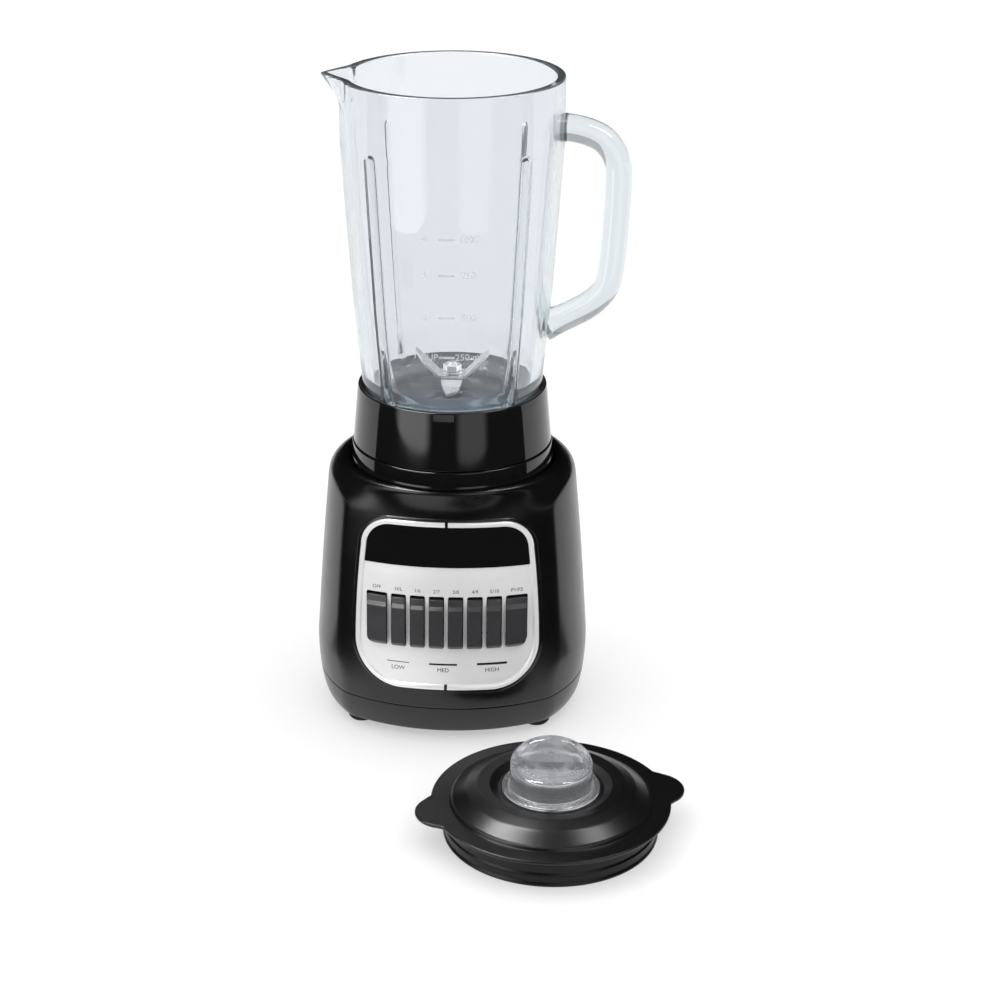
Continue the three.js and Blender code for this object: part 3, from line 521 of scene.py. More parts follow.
def panel_outline(inset=0.0):
    """points round the panel, from the right-hand lower corner and up"""
    top, bottom = PANEL_TOP - inset, PANEL_BOTTOM + inset
    high, low = TOP_CORNER - inset, LOW_CORNER - inset
    x_high, x_low = PANEL_HALF_TOP - TOP_CORNER, PANEL_HALF_LOW - LOW_CORNER
    bulge, middle = PANEL_HALF_LOW - inset - 0.4, (top - high + bottom + low) / 2
    start, end = Vector((x_low + low, bottom + low)), Vector((x_high + high, top - high))
    control = Vector((bulge, middle))
    shares = [k / 14 for k in range(1, 14)]
    side = [start * (1 - t) ** 2 + control * 2 * t * (1 - t) + end * t**2 for t in shares]
    right = arc(x_low, bottom + low, low, -90, 0, 20) + [tuple(p) for p in side]
    right += arc(x_high, top - high, high, 0, 90, 16)
    across_top = [(x_high * (1 - k / 12), top) for k in range(1, 12)]
    left = [(-x, v) for x, v in reversed(right)]
    across_bottom = [(-x_low + x_low * k / 12, bottom) for k in range(1, 12)]
    far_top = [(-x_high * k / 12, top) for k in range(0, 12)]
    near_bottom = [(x_low * k / 12, bottom) for k in range(0, 12)]
    return right + across_top + far_top + left + across_bottom + near_bottom


def panel_span(x, inset):
    """the lowest and highest v of the outline at x"""
    outline = panel_outline(inset)
    found = []
    for (x0, v0), (x1, v1) in zip(outline, outline[1:] + outline[:1]):
        if min(x0, x1) <= x <= max(x0, x1):
            found += [v0, v1] if x0 == x1 else [v0 + (v1 - v0) * (x - x0) / (x1 - x0)]
    return min(found), max(found)


def panel_plate(inset, back, front, low=None):
    """a plate that fills the outline and follows the bow, from low upwards if that is given"""
    reach = max(x for x, v in panel_outline(inset) if low is None or v >= low) - 1e-3
    rings = []
    for k in range(97):
        x = reach * math.sin(math.radians(180 * k / 96 - 90))
        bottom, top = panel_span(x, inset)
        bottom = bottom if low is None else max(bottom, low)
        section = ((bottom, back), (top, back), (top, front), (bottom, front))
        rings.append([on_panel(x, v, w) for v, w in section])
    return skin(rings, caps=True)


def panel_trim(section):
    """a frame that runs round the outline with a section of (inward, out) points"""
    outline = panel_outline()
    rings = []
    for k, (x, v) in enumerate(outline):
        ahead = Vector(outline[(k + 1) % len(outline)]) - Vector(outline[k - 1])
        inward = Vector((-ahead.y, ahead.x)).normalized()
        rings.append([on_panel(x + inward.x * d, v + inward.y * d, w) for d, w in section])
    return skin(rings, loop=True)


def panel_prism(outline, back, front):
    """a straight block with the outline, square to the panel at its middle"""
    return skin([[on_panel(x, v, w, bowed=False) for x, v in outline] for w in (back, front)], caps=True)


def key_places():
    """(name, body, left, right) of each key, from left to right"""
    places = [("off_key", "off_button", -END_KEY_OUTER, -END_KEY_INNER)]
    for k in range(6):
        middle = (k - 2.5) * KEY_PITCH
        edges = (middle - KEY_WIDTH / 2, middle + KEY_WIDTH / 2)
        places.append((f"speed_key_{k + 1}", f"speed_button_{k + 1}", *edges))
    return [*places, ("pulse_key", "pulse_button", END_KEY_INNER, END_KEY_OUTER)]


def key_outline(name, left, right, gap=0.0, above=0.0):
    """a key's outline, with an end key's outer lower corner well rounded"""
    left, right, low, high = left - gap, right + gap, -KEY_HALF - gap, KEY_HALF + above
    big, small = 8, 0.6 + gap
    low_left = big if name == "off_key" else small
    low_right = big if name == "pulse_key" else small
    corners = [(left, low, low_left), (right, low, low_right), (right, high, small), (left, high, small)]
    return rounded(corners, closed=True)


# ---------------------------------------------------------------- base pieces
def housing_shell():
    seam = BODY["seam"] + BODY["gap"]
    outside = [body_ring(seam, 0.6), body_ring(seam + 0.15, 0.15)]
    outside += [body_ring(z) for z in levels_between(seam + 0.6, BODY["lip"] - 0.1)]
    lip, well = BODY["lip"], WELL_RADIUS
    top = [round_ring(r, z) for r, z in ((64.9, lip + 0.02), (63.6, lip - 0.05), (well + 0.15, lip - 0.5))]
    inside = [round_ring(r, z) for r, z in (
        (well, lip - 1.2), (well, BODY["deck"] + 0.6), (well - 0.6, BODY["deck"]),
        (COUPLING_HOLE + 0.5, BODY["deck"]), (COUPLING_HOLE, BODY["deck"] - 0.5),
        (COUPLING_HOLE, BODY["deck_under"]),
    )]
    under = [body_ring(z, BODY_WALL + 1.2) for z in (BODY["deck_under"], 120, 80, 50, seam)]
    shell = skin([*outside, *top, *inside, *under], loop=True)
    window = panel_plate(2.2, -14, 14)
    return combined(shell, [window], "DIFFERENCE")


def bezel_surround():
    return panel_trim([(-2.1, -1), (-2.1, 0.05), (-1.6, 0.5), (-0.5, 0.6), (-0.1, 0.2), (-0.1, -1)])


def bezel_frame():
    edge = BEZEL_BORDER
    frame_mesh = panel_trim([
        (0, -1.3), (0, 0.5), (0.3, 0.95), (0.9, 1.2), (edge - 1.3, 1.1), (edge - 0.5, 0.6),
        (edge - 0.1, 0.1), (edge, -1.3),
    ])
    half = NOTCH_WIDTH / 2
    notches = [
        panel_prism([(-half, low), (half, low), (half, low + 2 * edge), (-half, low + 2 * edge)], -3, 6)
        for low in (PANEL_TOP - edge - 0.4, PANEL_BOTTOM - edge + 0.4)
    ]
    return combined(frame_mesh, notches, "DIFFERENCE")


def notch_plugs():
    """the black tabs that fill the bezel's two notches"""
    half = NOTCH_WIDTH / 2 - 0.1
    tabs = bmesh.new()
    at_top = (PANEL_TOP - BEZEL_BORDER, PANEL_TOP - 0.2)
    at_bottom = (PANEL_BOTTOM + 0.2, PANEL_BOTTOM + BEZEL_BORDER)
    for low, high in (at_top, at_bottom):
        section = rounded([(low, -1.2, 0), (low, 0.7, 0.3), (high, 0.7, 0.3), (high, -1.2, 0)])
        add_tube(tabs, [[on_panel(x, v, w) for v, w in section] for x in (-half, half)])
    bmesh.ops.recalc_face_normals(tabs, faces=tabs.faces)
    return tabs


def control_panel():
    slots = [
        panel_prism(key_outline(name, left, right, SLOT_GAP, SLOT_ABOVE), -24, 6)
        for name, _, left, right in key_places()
    ]
    return combined(panel_plate(BEZEL_BORDER - 0.3, -1.2, -0.1), slots, "DIFFERENCE")


def label_plate():
    return bevelled(panel_plate(BEZEL_BORDER - 0.2, 0.0, 0.55, low=LABEL_FROM), 0.12, 2)


KEY_PROFILE = [
    (-KEY_HALF, -4, 0), (-KEY_HALF, 1.6, 1.2), (-12.6, 4.9, 1.6), (-6, 4.75, 20), (4, 4.4, 20),
    (9.6, 4.5, 1.0), (11.4, 1.9, 0.9), (KEY_HALF, 1.2, 0.6), (KEY_HALF, -4, 0),
]


def key(name, left, right):
    """the side outline of (v, w) carried across the key, following the panel's bow"""
    profile = rounded(KEY_PROFILE, step=15)
    columns = [left + (right - left) * k / 8 for k in range(9)]
    body = skin([[on_panel(x, v, w) for v, w in profile] for x in columns], caps=True)
    if not name.startswith("speed"):
        body = combined(body, [panel_prism(key_outline(name, left, right), -30, 12)], "INTERSECT")
    return bevelled(body, 0.45, 3, angle=50)


def bottom_cover():
    bottom, seam = BODY["bottom"], BODY["seam"]
    floor = [body_ring(bottom, 30), body_ring(bottom, 2.2), body_ring(bottom + 0.25, 0.9)]
    floor += [body_ring(bottom + 0.9, 0.2)]
    side = [body_ring(z) for z in levels_between(bottom + 1.6, seam - 0.6)]
    rim = [body_ring(seam - 0.15, 0.15), body_ring(seam, 0.6), body_ring(seam, BODY_WALL)]
    inside = [body_ring(z, BODY_WALL) for z in (18, 12)] + [body_ring(bottom + BODY_WALL, 5)]
    inside += [body_ring(bottom + BODY_WALL, 30)]
    tray = skin([*floor, *side, *rim, *inside], loop=True)
    plate = skin([body_ring(z, 29.5) for z in (bottom + 0.01, bottom + BODY_WALL - 0.01)], caps=True)
    tray = combined(tray, [plate], "UNION")
    vents = [rib_block((k * 9 - 1.8, k * 9 + 1.8), (-24, 24), (0, 12)) for k in (-2, -1, 0, 1, 2)]
    holes = [disc_at(4.2, 0, 10.4, x, y) for x, y in ((36, -50), (38, 58), (-38, 58), (-36, -50))]
    sockets = [disc_at(8.8, 0, 5.9, x, y) for x, y in FEET]
    return combined(tray, [*vents, *holes, *sockets], "DIFFERENCE")


def rib_block(across, along, height):
    corners = [(across[0], along[0]), (across[1], along[0]), (across[1], along[1]), (across[0], along[1])]
    return skin([[(x, y, z) for x, y in corners] for z in height], caps=True)


def disc_at(radius, low, high, x, y, steps=48):
    ring = arc(x, y, radius, 0, 360, steps)[:-1]
    return skin([[(px, py, z) for px, py in ring] for z in (low, high)], caps=True)


def foot(x, y):
    profile = rounded([
        (0, 1.6, 0), (3.2, 1.6, 0.3), (3.9, 0, 0.3), (7.2, 0, 0.9), (8.4, 1.6, 0.8), (8.5, 5.6, 0),
        (0, 5.6, 0),
    ])
    mesh = turned(profile, 64, loop=False)
    mesh.transform(Matrix.Translation((x, y, 0)))
    return mesh


def seat_ring():
    return turned(rounded([
        (57.2, 158.3, 0.2), (61.2, 158.3, 0.3), (61.2, 163.6, 0.5), (60.75, 164.5, 0.3),
        (60.6, 173.3, 0.8), (45, 173.3, 0.6), (45, 158.3, 0.2), (48.4, 158.3, 0.2),
        (48.4, 169.9, 0.4), (57.2, 169.9, 0.4),
    ], closed=True), 192)


def cord_gland():
    profile = rounded([
        (3.7, 74, 0.2), (6.2, 74, 0.3), (6.2, 84.4, 0.2), (8.4, 84.6, 0.5), (8.2, 86.6, 0.6),
        (5.6, 87.4, 0.4), (3.7, 87.4, 0.4),
    ], closed=True)
    mesh = turned(profile, 64)
    mesh.transform(Matrix.Translation((0, 0, CORD_HEIGHT)) @ Matrix.Rotation(math.radians(-90), 4, "X"))
    return mesh


# ---------------------------------------------------------------- jar pieces
def glass_shift(angle, z, inside):
    """how far the glass stands out from its turned profile: the pouring lip, less the four ribs"""
    off = apart(angle, SPOUT_ANGLE) / SPOUT_HALF_ANGLE
    rise = min(1, max(0, (z - SPOUT_FROM) / (RIM - SPOUT_FROM)))
    spout = SPOUT_REACH * max(0, 1 - off) ** 1.35 * rise**1.15
    mean_radius = 60
    nearest = min(apart(angle, rib) for rib in RIB_ANGLES)
    foot_share = 1 - blend(214, 236, z)
    # a rib's half width, its soft edge and its depth: swollen at the foot inside, a groove outside
    half, edge, depth = (3.0 + foot_share, 2.4, 2.9 + 2.2 * foot_share) if inside else (1.7, 1.4, 0.8)
    beside = math.radians(nearest) * mean_radius
    from_middle = math.hypot(beside, max(0, z - (RIB_TOP - half)))
    low_end = blend(205, 213, z) if not inside else blend(207, 210, z)
    return spout - depth * (1 - blend(half - edge, half + edge * 0.3, from_middle)) * low_end


def glass_angles():
    """angles right round the jar, closer together at the ribs and the pouring lip"""
    angles = set()
    degree = 0.0
    while degree < 359.9:
        near_rib = min(apart(degree, rib) for rib in RIB_ANGLES) < 7.5
        near_spout = apart(degree, SPOUT_ANGLE) < SPOUT_HALF_ANGLE + 2
        angles.add(round(degree, 3))
        degree += 0.5 if near_rib else 1.0 if near_spout else 2.5
    return sorted(angles)


JAR_OUTSIDE = [
    (46, 183.7, 0), (46, 200, 2), (51.4, 205, 4), (54.3, 212, 6), (55.4, 226, 40), (58.7, 260, 200),
    (62.6, 318, 300), (65, 356, 60), (65, RIM, 1.3),
]
JAR_INSIDE = [
    (59.8, RIM, 1.6), (59.5, 357, 60), (56.8, 318, 300), (52.4, 260, 200), (48.2, 216, 8),
    (45.4, 209.2, 4), (38.2, 204.4, 1.5), (38.2, 183.7, 0),
]


def jar_glass():
    def gap(z):
        return 1.1 if z > 374 or 346 < z < 360 or z < 216 else 5

    line = spaced(rounded([*JAR_OUTSIDE, *JAR_INSIDE], step=14), gap)
    outer_count = next(k for k, (r, z) in enumerate(line) if z > RIM - 0.1 and r < 62.4)
    angles = glass_angles()
    rings = [
        [polar(r + glass_shift(angle, z, k >= outer_count), angle, z) for angle in angles]
        for k, (r, z) in enumerate(line)
    ]
    return combined(skin(rings, loop=True), [jar_handle()], "UNION")


def jar_handle():
    """a bar of flattened round section along the handle's centre line, flared where it joins"""
    route = spline([
        (61.8, 364.8), (69, 364.4), (79, 362.0), (88, 357.2), (94.4, 348), (96.3, 336.6), (95.4, 307),
        (93.3, 281), (90.2, 269.2), (82, 259.6), (69, 251.8), (55.2, 245.4),
    ], 7)
    last = len(route) - 1
    power = HANDLE_SQUARENESS
    rings = []
    for k, at in enumerate(route):
        ahead = (route[min(k + 1, last)] - route[max(k - 1, 0)]).normalized()
        across = Vector((-ahead.y, ahead.x))
        from_end = min(k, last - k)
        flare = 1 + 0.2 * max(0, 1 - from_end / 6) ** 2
        ring = []
        for j in range(40):
            turn = math.radians(9 * j)
            c, s = math.cos(turn), math.sin(turn)
            size = (abs(c) ** power + abs(s) ** power) ** (-1 / power) * flare
            ring.append((
                at.x + across.x * c * size * HANDLE_HALF_DEEP,
                s * size * HANDLE_HALF_WIDE,
                at.y + across.y * c * size * HANDLE_HALF_DEEP,
            ))
        rings.append(ring)
    return skin(rings, caps=True)


def collar():
    return turned(rounded([
        (60, 173.8, 0.6), (57.3, 204, 6), (56.6, 208.9, 1.6), (55.2, 209, 0.4), (52.6, 203.6, 0.6),
        (46.6, 199.4, 1), (46.6, 176.7, 0.4), (40.5, 176.7, 0.4), (40.5, 165, 0.3), (44, 165, 0.3),
        (44, 173.8, 0.4),
    ], closed=True), 192)


def blade_cup():
    return turned(rounded([
        (40.9, 177, 0.2), (45.6, 177, 0.3), (45.6, 180.6, 0.4), (37.8, 180.6, 0.4), (37.8, 201.6, 1.4),
        (20, 204.8, 6), (12, 206.4, 1.5), (12, 208.6, 0.6), (6.6, 208.6, 0.2), (6.6, 207.9, 0),
        (8.3, 207.9, 0), (8.3, 178, 0), (12, 178, 0),
        (12, 202.6, 0.8), (35.6, 200.4, 1), (35.6, 179, 0.6), (40.9, 179, 0.2),
    ], closed=True), 128)


def spindle():
    return turned(rounded([
        (0, 171.6, 0), (4, 171.6, 0.4), (4, 208.4, 0.2), (6, 208.8, 0.3), (6, 211.7, 0.2), (3, 211.7, 0.1),
        (3, 222.2, 0.7), (0, 222.2, 0),
    ]), 64, loop=False)


def blade_nut():
    corners = arc(0, 0, 5.6, 0, 360, 6)[:-1]
    hexagon = skin([[(x, y, z) for x, y in corners] for z in (217.2, 221)], caps=True)
    return bevelled(combined(hexagon, [disc_at(3.1, 210, 230, 0, 0)], "DIFFERENCE"), 0.35, 3, angle=50)


def gauge_marks():
    """raised capacity marks on the front of the glass: a short line with figures on both sides"""
    rows = [(243.5, "1 CUP", "250 ml"), (268, "2", "500"), (293.5, "3", "750"), (315, "4", "1000")]
    mesh = bmesh.new()
    for z, cups, volume in rows:
        add_text(mesh, cups, -12.5, z, 4.0, jar_front)
        add_text(mesh, volume, 12.5, z, 4.0, jar_front)
        add_bar(mesh, (-4.6, 4.6), (z - 0.6, z + 0.6), jar_front)
    return mesh


def jar_front(x, z, out):
    """a place on the front of the glass, x round it from the middle"""
    radius = jar_outer_radius(z) + 0.08 + out
    return polar(radius, math.degrees(x / radius), z)


def jar_outer_radius(z):
    line = [(z0, r0) for r0, z0, _ in JAR_OUTSIDE[2:8]]
    for (z0, r0), (z1, r1) in zip(line, line[1:]):
        if z0 <= z <= z1:
            return r0 + (r1 - r0) * (z - z0) / (z1 - z0)
    return line[-1][1]


# ---------------------------------------------------------------- lettering
def add_text(mesh, text, x, y, height, place, thick=0.25):
    """adds text to a mesh, centred on (x, y) and laid on a surface by place(x, y, out)"""
    curve = bpy.data.curves.new("text", "FONT")
    curve.body = text
    curve.size = height * 1.4
    curve.align_x = "CENTER"
    curve.align_y = "CENTER"
    curve.extrude = thick / 2
    holder = bpy.data.objects.new("text", curve)
    bpy.context.scene.collection.objects.link(holder)
    bpy.context.view_layer.update()
    letters = holder.evaluated_get(bpy.context.evaluated_depsgraph_get()).to_mesh()
    start = len(mesh.verts)
    mesh.from_mesh(letters)
    mesh.verts.ensure_lookup_table()
    for vert in mesh.verts[start:]:
        vert.co = place(x + vert.co.x, y + vert.co.y, vert.co.z + thick / 2)
    bpy.data.curves.remove(curve)


def add_bar(mesh, across, along, place, thick=0.25):
    """adds a flat bar to a mesh, laid on a surface by place(x, y, out)"""
    columns = [across[0] + (across[1] - across[0]) * k / 8 for k in range(9)]
    section = ((along[0], 0), (along[1], 0), (along[1], thick), (along[0], thick))
    add_tube(mesh, [[place(x, y, out) for y, out in section] for x in columns])


def panel_face(x, v, out):
    return on_panel(x, v, -0.06 + out)


def panel_marks(faint):
    """the key names over the keys, and the three speed bands with their names under them

    The faint print is the key names, the low band's bar, and the words for low and high.
    """
    mesh = bmesh.new()
    if faint:
        names = ["OFF", "H/L", "1/6", "2/7", "3/8", "4/9", "5/10", "P1/P2"]
        for name, (_, _, left, right) in zip(names, key_places()):
            add_text(mesh, name, (left + right) / 2, 20.1, 2.2, panel_face, PRINT_THICK)
        add_bar(mesh, (-35.6, -22.1), (-26.1, -25.6), panel_face, PRINT_THICK)
        add_text(mesh, "LOW", -28.9, -29.6, 2.5, panel_face, PRINT_THICK)
        add_text(mesh, "HIGH", 27.7, -29.6, 2.5, panel_face, PRINT_THICK)
        return mesh
    add_bar(mesh, (-10, 6.8), (-26.4, -25.3), panel_face, PRINT_THICK)
    add_bar(mesh, (18.8, 36.6), (-26.3, -24.9), panel_face, PRINT_THICK)
    add_text(mesh, "MED", -1.6, -29.6, 2.5, panel_face, PRINT_THICK)
    return mesh


# ---------------------------------------------------------------- lid pieces
def lug_reach(angle):
    """how far the plate's edge stands out at the two lugs, each a round tab that runs in smoothly"""
    off = math.radians(min(apart(angle, lug) for lug in (90 + LID_TURN, 270 + LID_TURN)))
    across = LUG_CENTRE * math.sin(off)
    if off > math.pi / 2 or abs(across) > LUG_RADIUS:
        return 0
    tab = LUG_CENTRE * math.cos(off) + math.sqrt(LUG_RADIUS**2 - across**2)
    return -soft_min(-tab, -PLATE_RADIUS, 5) - PLATE_RADIUS


def lid_shell():
    line = rounded([
        (24.4, 12, 0.3), (26.4, 12, 0.3), (26.4, 24.8, 1), (29, 24.8, 1), (34, 26.8, 2), (40, 28.3, 5),
        (46, 26.4, 6), (51, 22.4, 3), (55.6, 18, 1), (55.6, 1, 0.5), (58.2, 1, 0.5), (58.2, 17.8, 0.3),
        (PLATE_RADIUS, 18, 0.5), (PLATE_RADIUS, 20, 0.8), (57.4, 20.1, 0.5), (56.7, 22, 0.4),
        (55.4, 22.5, 0.8), (48, 27.6, 9), (41, 30.5, 4.5), (34.6, 29.6, 2.4), (30, 27.2, 1.6),
        (24.4, 27, 0.8),
    ], closed=True, step=9)
    line = spaced([*line, line[0]], lambda z: 3)[:-1]
    rings = []
    for r, z in line:
        share = blend(60, 67, r)
        ring = []
        for k in range(288):
            angle = 360 * k / 288
            reach = lug_reach(angle)
            drop = 0.25 * share * (reach > 4)
            ring.append(polar(r + share * reach, angle, z - drop))
        rings.append(ring)
    return skin(rings, loop=True)


def lid_gasket():
    return turned(rounded([
        (58.5, 0, 0.2), (60.7, 0, 0.5), (61.1, 1.3, 0.4), (60.2, 2.6, 0.6), (60.2, 5.8, 0.6),
        (61.1, 7.2, 0.5), (60.2, 8.5, 0.6), (60.1, 12, 0.4), (60.5, 13, 0.3), (60.1, 14, 0.4),
        (59.6, 17.5, 0.5), (58.5, 17.5, 0.1),
    ], closed=True), 192)


def cap_top(x, y, inside):
    """the height of the cap's top: a low round crown with a tall grip across it

    The grip's hollow is a lens in plan, with steeper sides than the grip has.
    """
    trim = CAP_WALL if inside else 0.0
    radius = CAP_RADIUS - trim
    r = min(math.hypot(x, y), radius)
    crown = CAP_SHOULDER + (CAP_CROWN - trim * 0.6) * math.sqrt(max(0, 1 - (r / radius) ** 6))
    half_length, height, half_depth, side_power, top_power = GRIP_INSIDE if inside else GRIP_OUTSIDE
    share = max(0, 1 - (x / half_length) ** 2)
    ridge = GRIP_FROM + height * math.sqrt(share)
    depth = max(0.05, half_depth * share**0.6)
    rise = max(0, 1 - (abs(y) / depth) ** side_power)
    return crown + max(0, ridge - crown) * rise**top_power


def filler_cap():
    """a hollow clear cup, open below, with a flange and a grip"""
    steps = 144
    angles = [360 * k / steps for k in range(steps)]
    shares = [1 - (k / 44) ** 1.15 for k in range(45)]

    def crown(inside):
        reach = CAP_RADIUS - (CAP_WALL if inside else 0.0)
        rows = []
        for share in shares:
            flat = [polar(reach * share, a, 0) for a in angles]
            rows.append([(x, y, cap_top(x, y, inside)) for x, y, _ in flat])
        return rows

    side = rounded([
        (23.0, 9, 0.4), (23.4, 27.3, 0), (27.6, 27.3, 0.5), (27.6, 29.1, 0.6), (23.5, 29.7, 1.2),
        (23.3, 38, 0),
    ])
    wall = rounded([(21.2, 38, 0), (20.9, 27.3, 0), (20.6, 9, 0.3)])
    outer = [[polar(r, a, z) for a in angles] for r, z in side]
    inner = [[polar(r, a, z) for a in angles] for r, z in wall]
    shell = skin([*outer, *crown(False)[1:]])
    lining = skin([*reversed(crown(True)[1:]), *inner])
    mesh = bmesh.new()
    for part in (shell, lining):
        holder = bpy.data.meshes.new("part")
        part.to_mesh(holder)
        part.free()
        mesh.from_mesh(holder)
        bpy.data.meshes.remove(holder)
    rims = [e for e in mesh.edges if e.is_boundary]
    bmesh.ops.bridge_loops(mesh, edges=rims)
    bmesh.ops.recalc_face_normals(mesh, faces=mesh.faces)
    return mesh


# ---------------------------------------------------------------- the CAD pieces that stay
def dress_cad_nodes():
    """every CAD node takes the material of its slot in the record, and the shown ones softened edges"""
    for entry in frame["record"]["subparts"]:
        node = nodes[entry["node"]]
        node.data.materials.clear()
        node.data.materials.append(LOOK[entry["material_slot"]])
        if not node.hide_render:
            soften = node.modifiers.new("soften", "BEVEL")
            soften.width = 0.25 * MM
            soften.segments = 2
            soften.limit_method = "ANGLE"
            soften.angle_limit = math.radians(40)
            shade_flats(node)


def build_base():
    black, gloss = LOOK["housing_black"], LOOK["gloss_black"]
    make("housing_shell", housing_shell(), black, "base", ["motor_housing"])
    make("bezel_surround", bezel_surround(), black, "base")
    make("cover_tray", bottom_cover(), black, "base", ["bottom_cover"])
    for k, (x, y) in enumerate(FEET):
        name = f"foot_{k + 1}"
        make(f"rubber_{name}", foot(x, y), LOOK["foot_rubber"], "base", [name])
    make("seat_collar", seat_ring(), gloss, "base", ["jar_seat_ring"])
    make("silver_bezel", bezel_frame(), LOOK["bezel_silver"], "base", ["bezel_frame"])
    make("bezel_tabs", notch_plugs(), black, "base")
    make("silver_panel", control_panel(), LOOK["panel_silver"], "base", ["control_panel"])
    make("black_label", label_plate(), gloss, "base", ["label_plate"])
    make("key_names", panel_marks(True), FAINT_PRINT, "base")
    make("speed_bands", panel_marks(False), PRINT, "base")
    make("lead_gland", cord_gland(), LOOK["foot_rubber"], "base", ["cord_gland"])
    for name, body, left, right in key_places():
        make(f"{name}_cap", key(name, left, right), LOOK["key_grey"], body, [name])


def build_jar():
    steel = LOOK["blade_steel"]
    glass = make("clear_jar", jar_glass(), LOOK["jar_glass"], "jar", ["glass_jar"])
    glass.visible_shadow = False
    make("capacity_marks", gauge_marks(), MARK, "jar")
    make("screw_collar", collar(), LOOK["gloss_black"], "jar", ["jar_collar"])
    make("steel_cup", blade_cup(), CUP_STEEL_WITH_PAINTED_SHADE, "jar", ["blade_base"])
    make("steel_spindle", spindle(), steel, "blade_rotor", ["blade_spindle"])
    make("hex_nut", blade_nut(), steel, "blade_rotor", ["blade_nut"])


def build_lid():
    make("lid_dome", lid_shell(), LOOK["lid_black"], "lid", ["lid_shell"], axis=LID_AXIS)
    make("lid_seal", lid_gasket(), RUBBER_SEAL, "lid", ["lid_gasket"], axis=LID_AXIS)
    cap = make(
        "clear_cap", filler_cap(), LOOK["cap_clear"], "cap", ["filler_cap"],
        axis=LID_AXIS, crease=42,
    )
    cap.visible_shadow = False


# ---------------------------------------------------------------- stage, light and camera, in metres
def card_mesh(name, wide, tall):
    """a flat card, from half of its width and half of its height"""
    data = bpy.data.meshes.new(name)
    corners = [(-wide, -tall, 0), (wide, -tall, 0), (wide, tall, 0), (-wide, tall, 0)]
    data.from_pydata(corners, [], [(0, 1, 2, 3)])
    return data


def floor():
    """a counter that glows a little, so that the shadows on it stay pale"""
    data = card_mesh("floor", FLOOR_HALF, FLOOR_HALF)
    data.materials.append(shading(
        "pale_floor", (0.5, 0.5, 0.503), 0.75, bump=0.02, tint=0.01,
        emission_color=(1, 1, 1, 1), emission_strength=0.48,
    ))
    plane = bpy.data.objects.new("floor", data)
    bpy.context.scene.collection.objects.link(plane)


def softbox(name, place, size, strength, towards):
    """a glowing card that fades to its sides, and shows only as a highlight on the object's surfaces"""
    glow = bpy.data.materials.new(name)
    glow.use_nodes = True
    tree = glow.node_tree
    tree.nodes.remove(tree.nodes["Principled BSDF"])
    place_on = tree.nodes.new("ShaderNodeTexCoord")
    sides = tree.nodes.new("ShaderNodeSeparateXYZ")
    tree.links.new(place_on.outputs["Generated"], sides.inputs["Vector"])
    from_side = tree.nodes.new("ShaderNodeMath")
    from_side.operation = "PINGPONG"
    from_side.inputs[1].default_value = 0.5
    tree.links.new(sides.outputs["X"], from_side.inputs[0])
    fade = tree.nodes.new("ShaderNodeMapRange")
    fade.interpolation_type = "SMOOTHSTEP"
    fade.inputs["From Max"].default_value = SOFTBOX_FADE
    tree.links.new(from_side.outputs["Value"], fade.inputs["Value"])
    scaled = tree.nodes.new("ShaderNodeMath")
    scaled.operation = "MULTIPLY"
    scaled.inputs[1].default_value = strength
    tree.links.new(fade.outputs["Result"], scaled.inputs[0])
    shine = tree.nodes.new("ShaderNodeEmission")
    tree.links.new(scaled.outputs["Value"], shine.inputs["Strength"])
    tree.links.new(shine.outputs["Emission"], tree.nodes["Material Output"].inputs["Surface"])

    data = card_mesh(name, size[0] / 2, size[1] / 2)
    data.materials.append(glow)
    card = bpy.data.objects.new(name, data)
    card.location = BASE_AXIS + Vector(place)
    aim = BASE_AXIS + Vector(towards) - card.location
    card.rotation_euler = aim.to_track_quat("-Z", "Y").to_euler()
    for ray in ("camera", "diffuse", "transmission", "shadow", "volume_scatter"):
        setattr(card, f"visible_{ray}", False)
    bpy.context.scene.collection.objects.link(card)


def floor_flag(name, x, y, size):
    """a dark card on the floor, so that the object's surfaces don't reflect the bright floor there"""
    softbox(name, (x, y, 0.001), size, 0, towards=(x, y, -1))


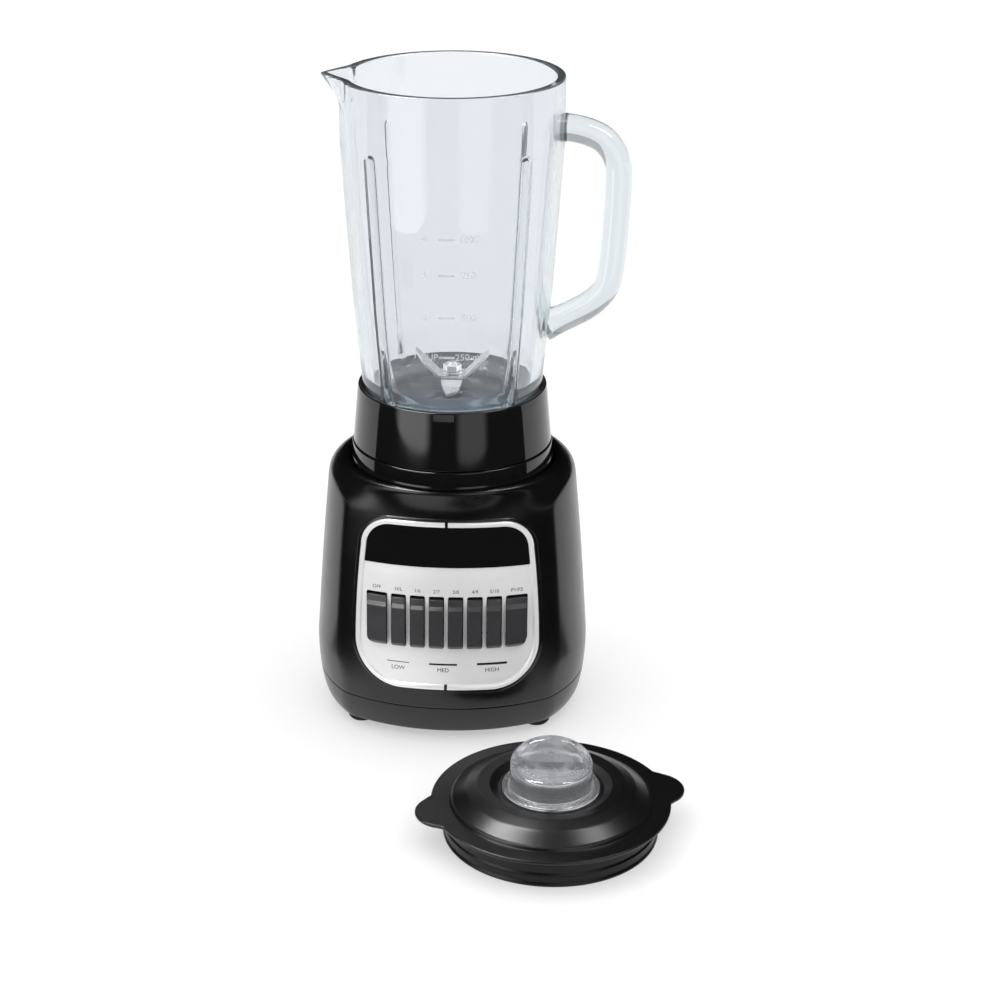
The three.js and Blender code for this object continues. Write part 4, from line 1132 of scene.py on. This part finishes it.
def overhead(strength, spread):
    """a wide, even light from straight above, the same all over the floor"""
    data = bpy.data.lights.new("overhead", "SUN")
    data.energy = strength
    data.angle = math.radians(spread)
    lamp = bpy.data.objects.new("overhead", data)
    lamp.visible_glossy = False
    bpy.context.scene.collection.objects.link(lamp)


def light_the_scene():
    """an even white world and overhead light, glowing cards for highlights, and flags for dark faces"""
    world = bpy.data.worlds.new("studio")
    world.use_nodes = True
    backdrop = world.node_tree.nodes["Background"]
    backdrop.inputs["Color"].default_value = (1, 1, 1, 1)
    backdrop.inputs["Strength"].default_value = 0.5
    world.cycles_visibility.glossy = False
    bpy.context.scene.world = world
    overhead(2.1, 110)
    softbox("left_box", (-0.47, -0.51, 0.42), (0.62, 0.75), 2.6, towards=(0, 0, 0.42))
    softbox("right_box", (0.29, -0.62, 0.42), (0.5, 0.75), 1.1, towards=(0, 0, 0.42))
    softbox("top_left_box", (-0.62, -0.15, 1.35), (0.5, 0.8), 21, towards=(0.05, -0.1, 0))
    softbox("top_right_box", (0.72, -0.2, 1.2), (0.36, 0.6), 10, towards=(0.05, -0.1, 0))
    floor_flag("front_flag", 0, -1.27, (5, 2))
    floor_flag("left_flag", -1.37, -0.125, (2.4, 0.29))
    floor_flag("right_flag", 1.37, -0.125, (2.4, 0.29))


CAMERA = {
    "aside": 0.0714, "away": 1.278, "height": 0.673, "turn": 3.2, "tilt": 22.95, "lens": 81.3,
    "shift": 0.0477,
}


def set_camera():
    data = bpy.data.cameras.new("view")
    data.lens = CAMERA["lens"]
    data.sensor_width = 36
    data.shift_x = CAMERA["shift"]
    camera = bpy.data.objects.new("view", data)
    camera.location = BASE_AXIS + Vector((CAMERA["aside"], -CAMERA["away"], CAMERA["height"]))
    camera.rotation_euler = (math.radians(90 - CAMERA["tilt"]), 0, math.radians(CAMERA["turn"]))
    bpy.context.scene.collection.objects.link(camera)
    bpy.context.scene.camera = camera
    bpy.context.scene.view_settings.view_transform = "Standard"


build_base()
build_jar()
build_lid()
dress_cad_nodes()
floor()
light_the_scene()
set_camera()
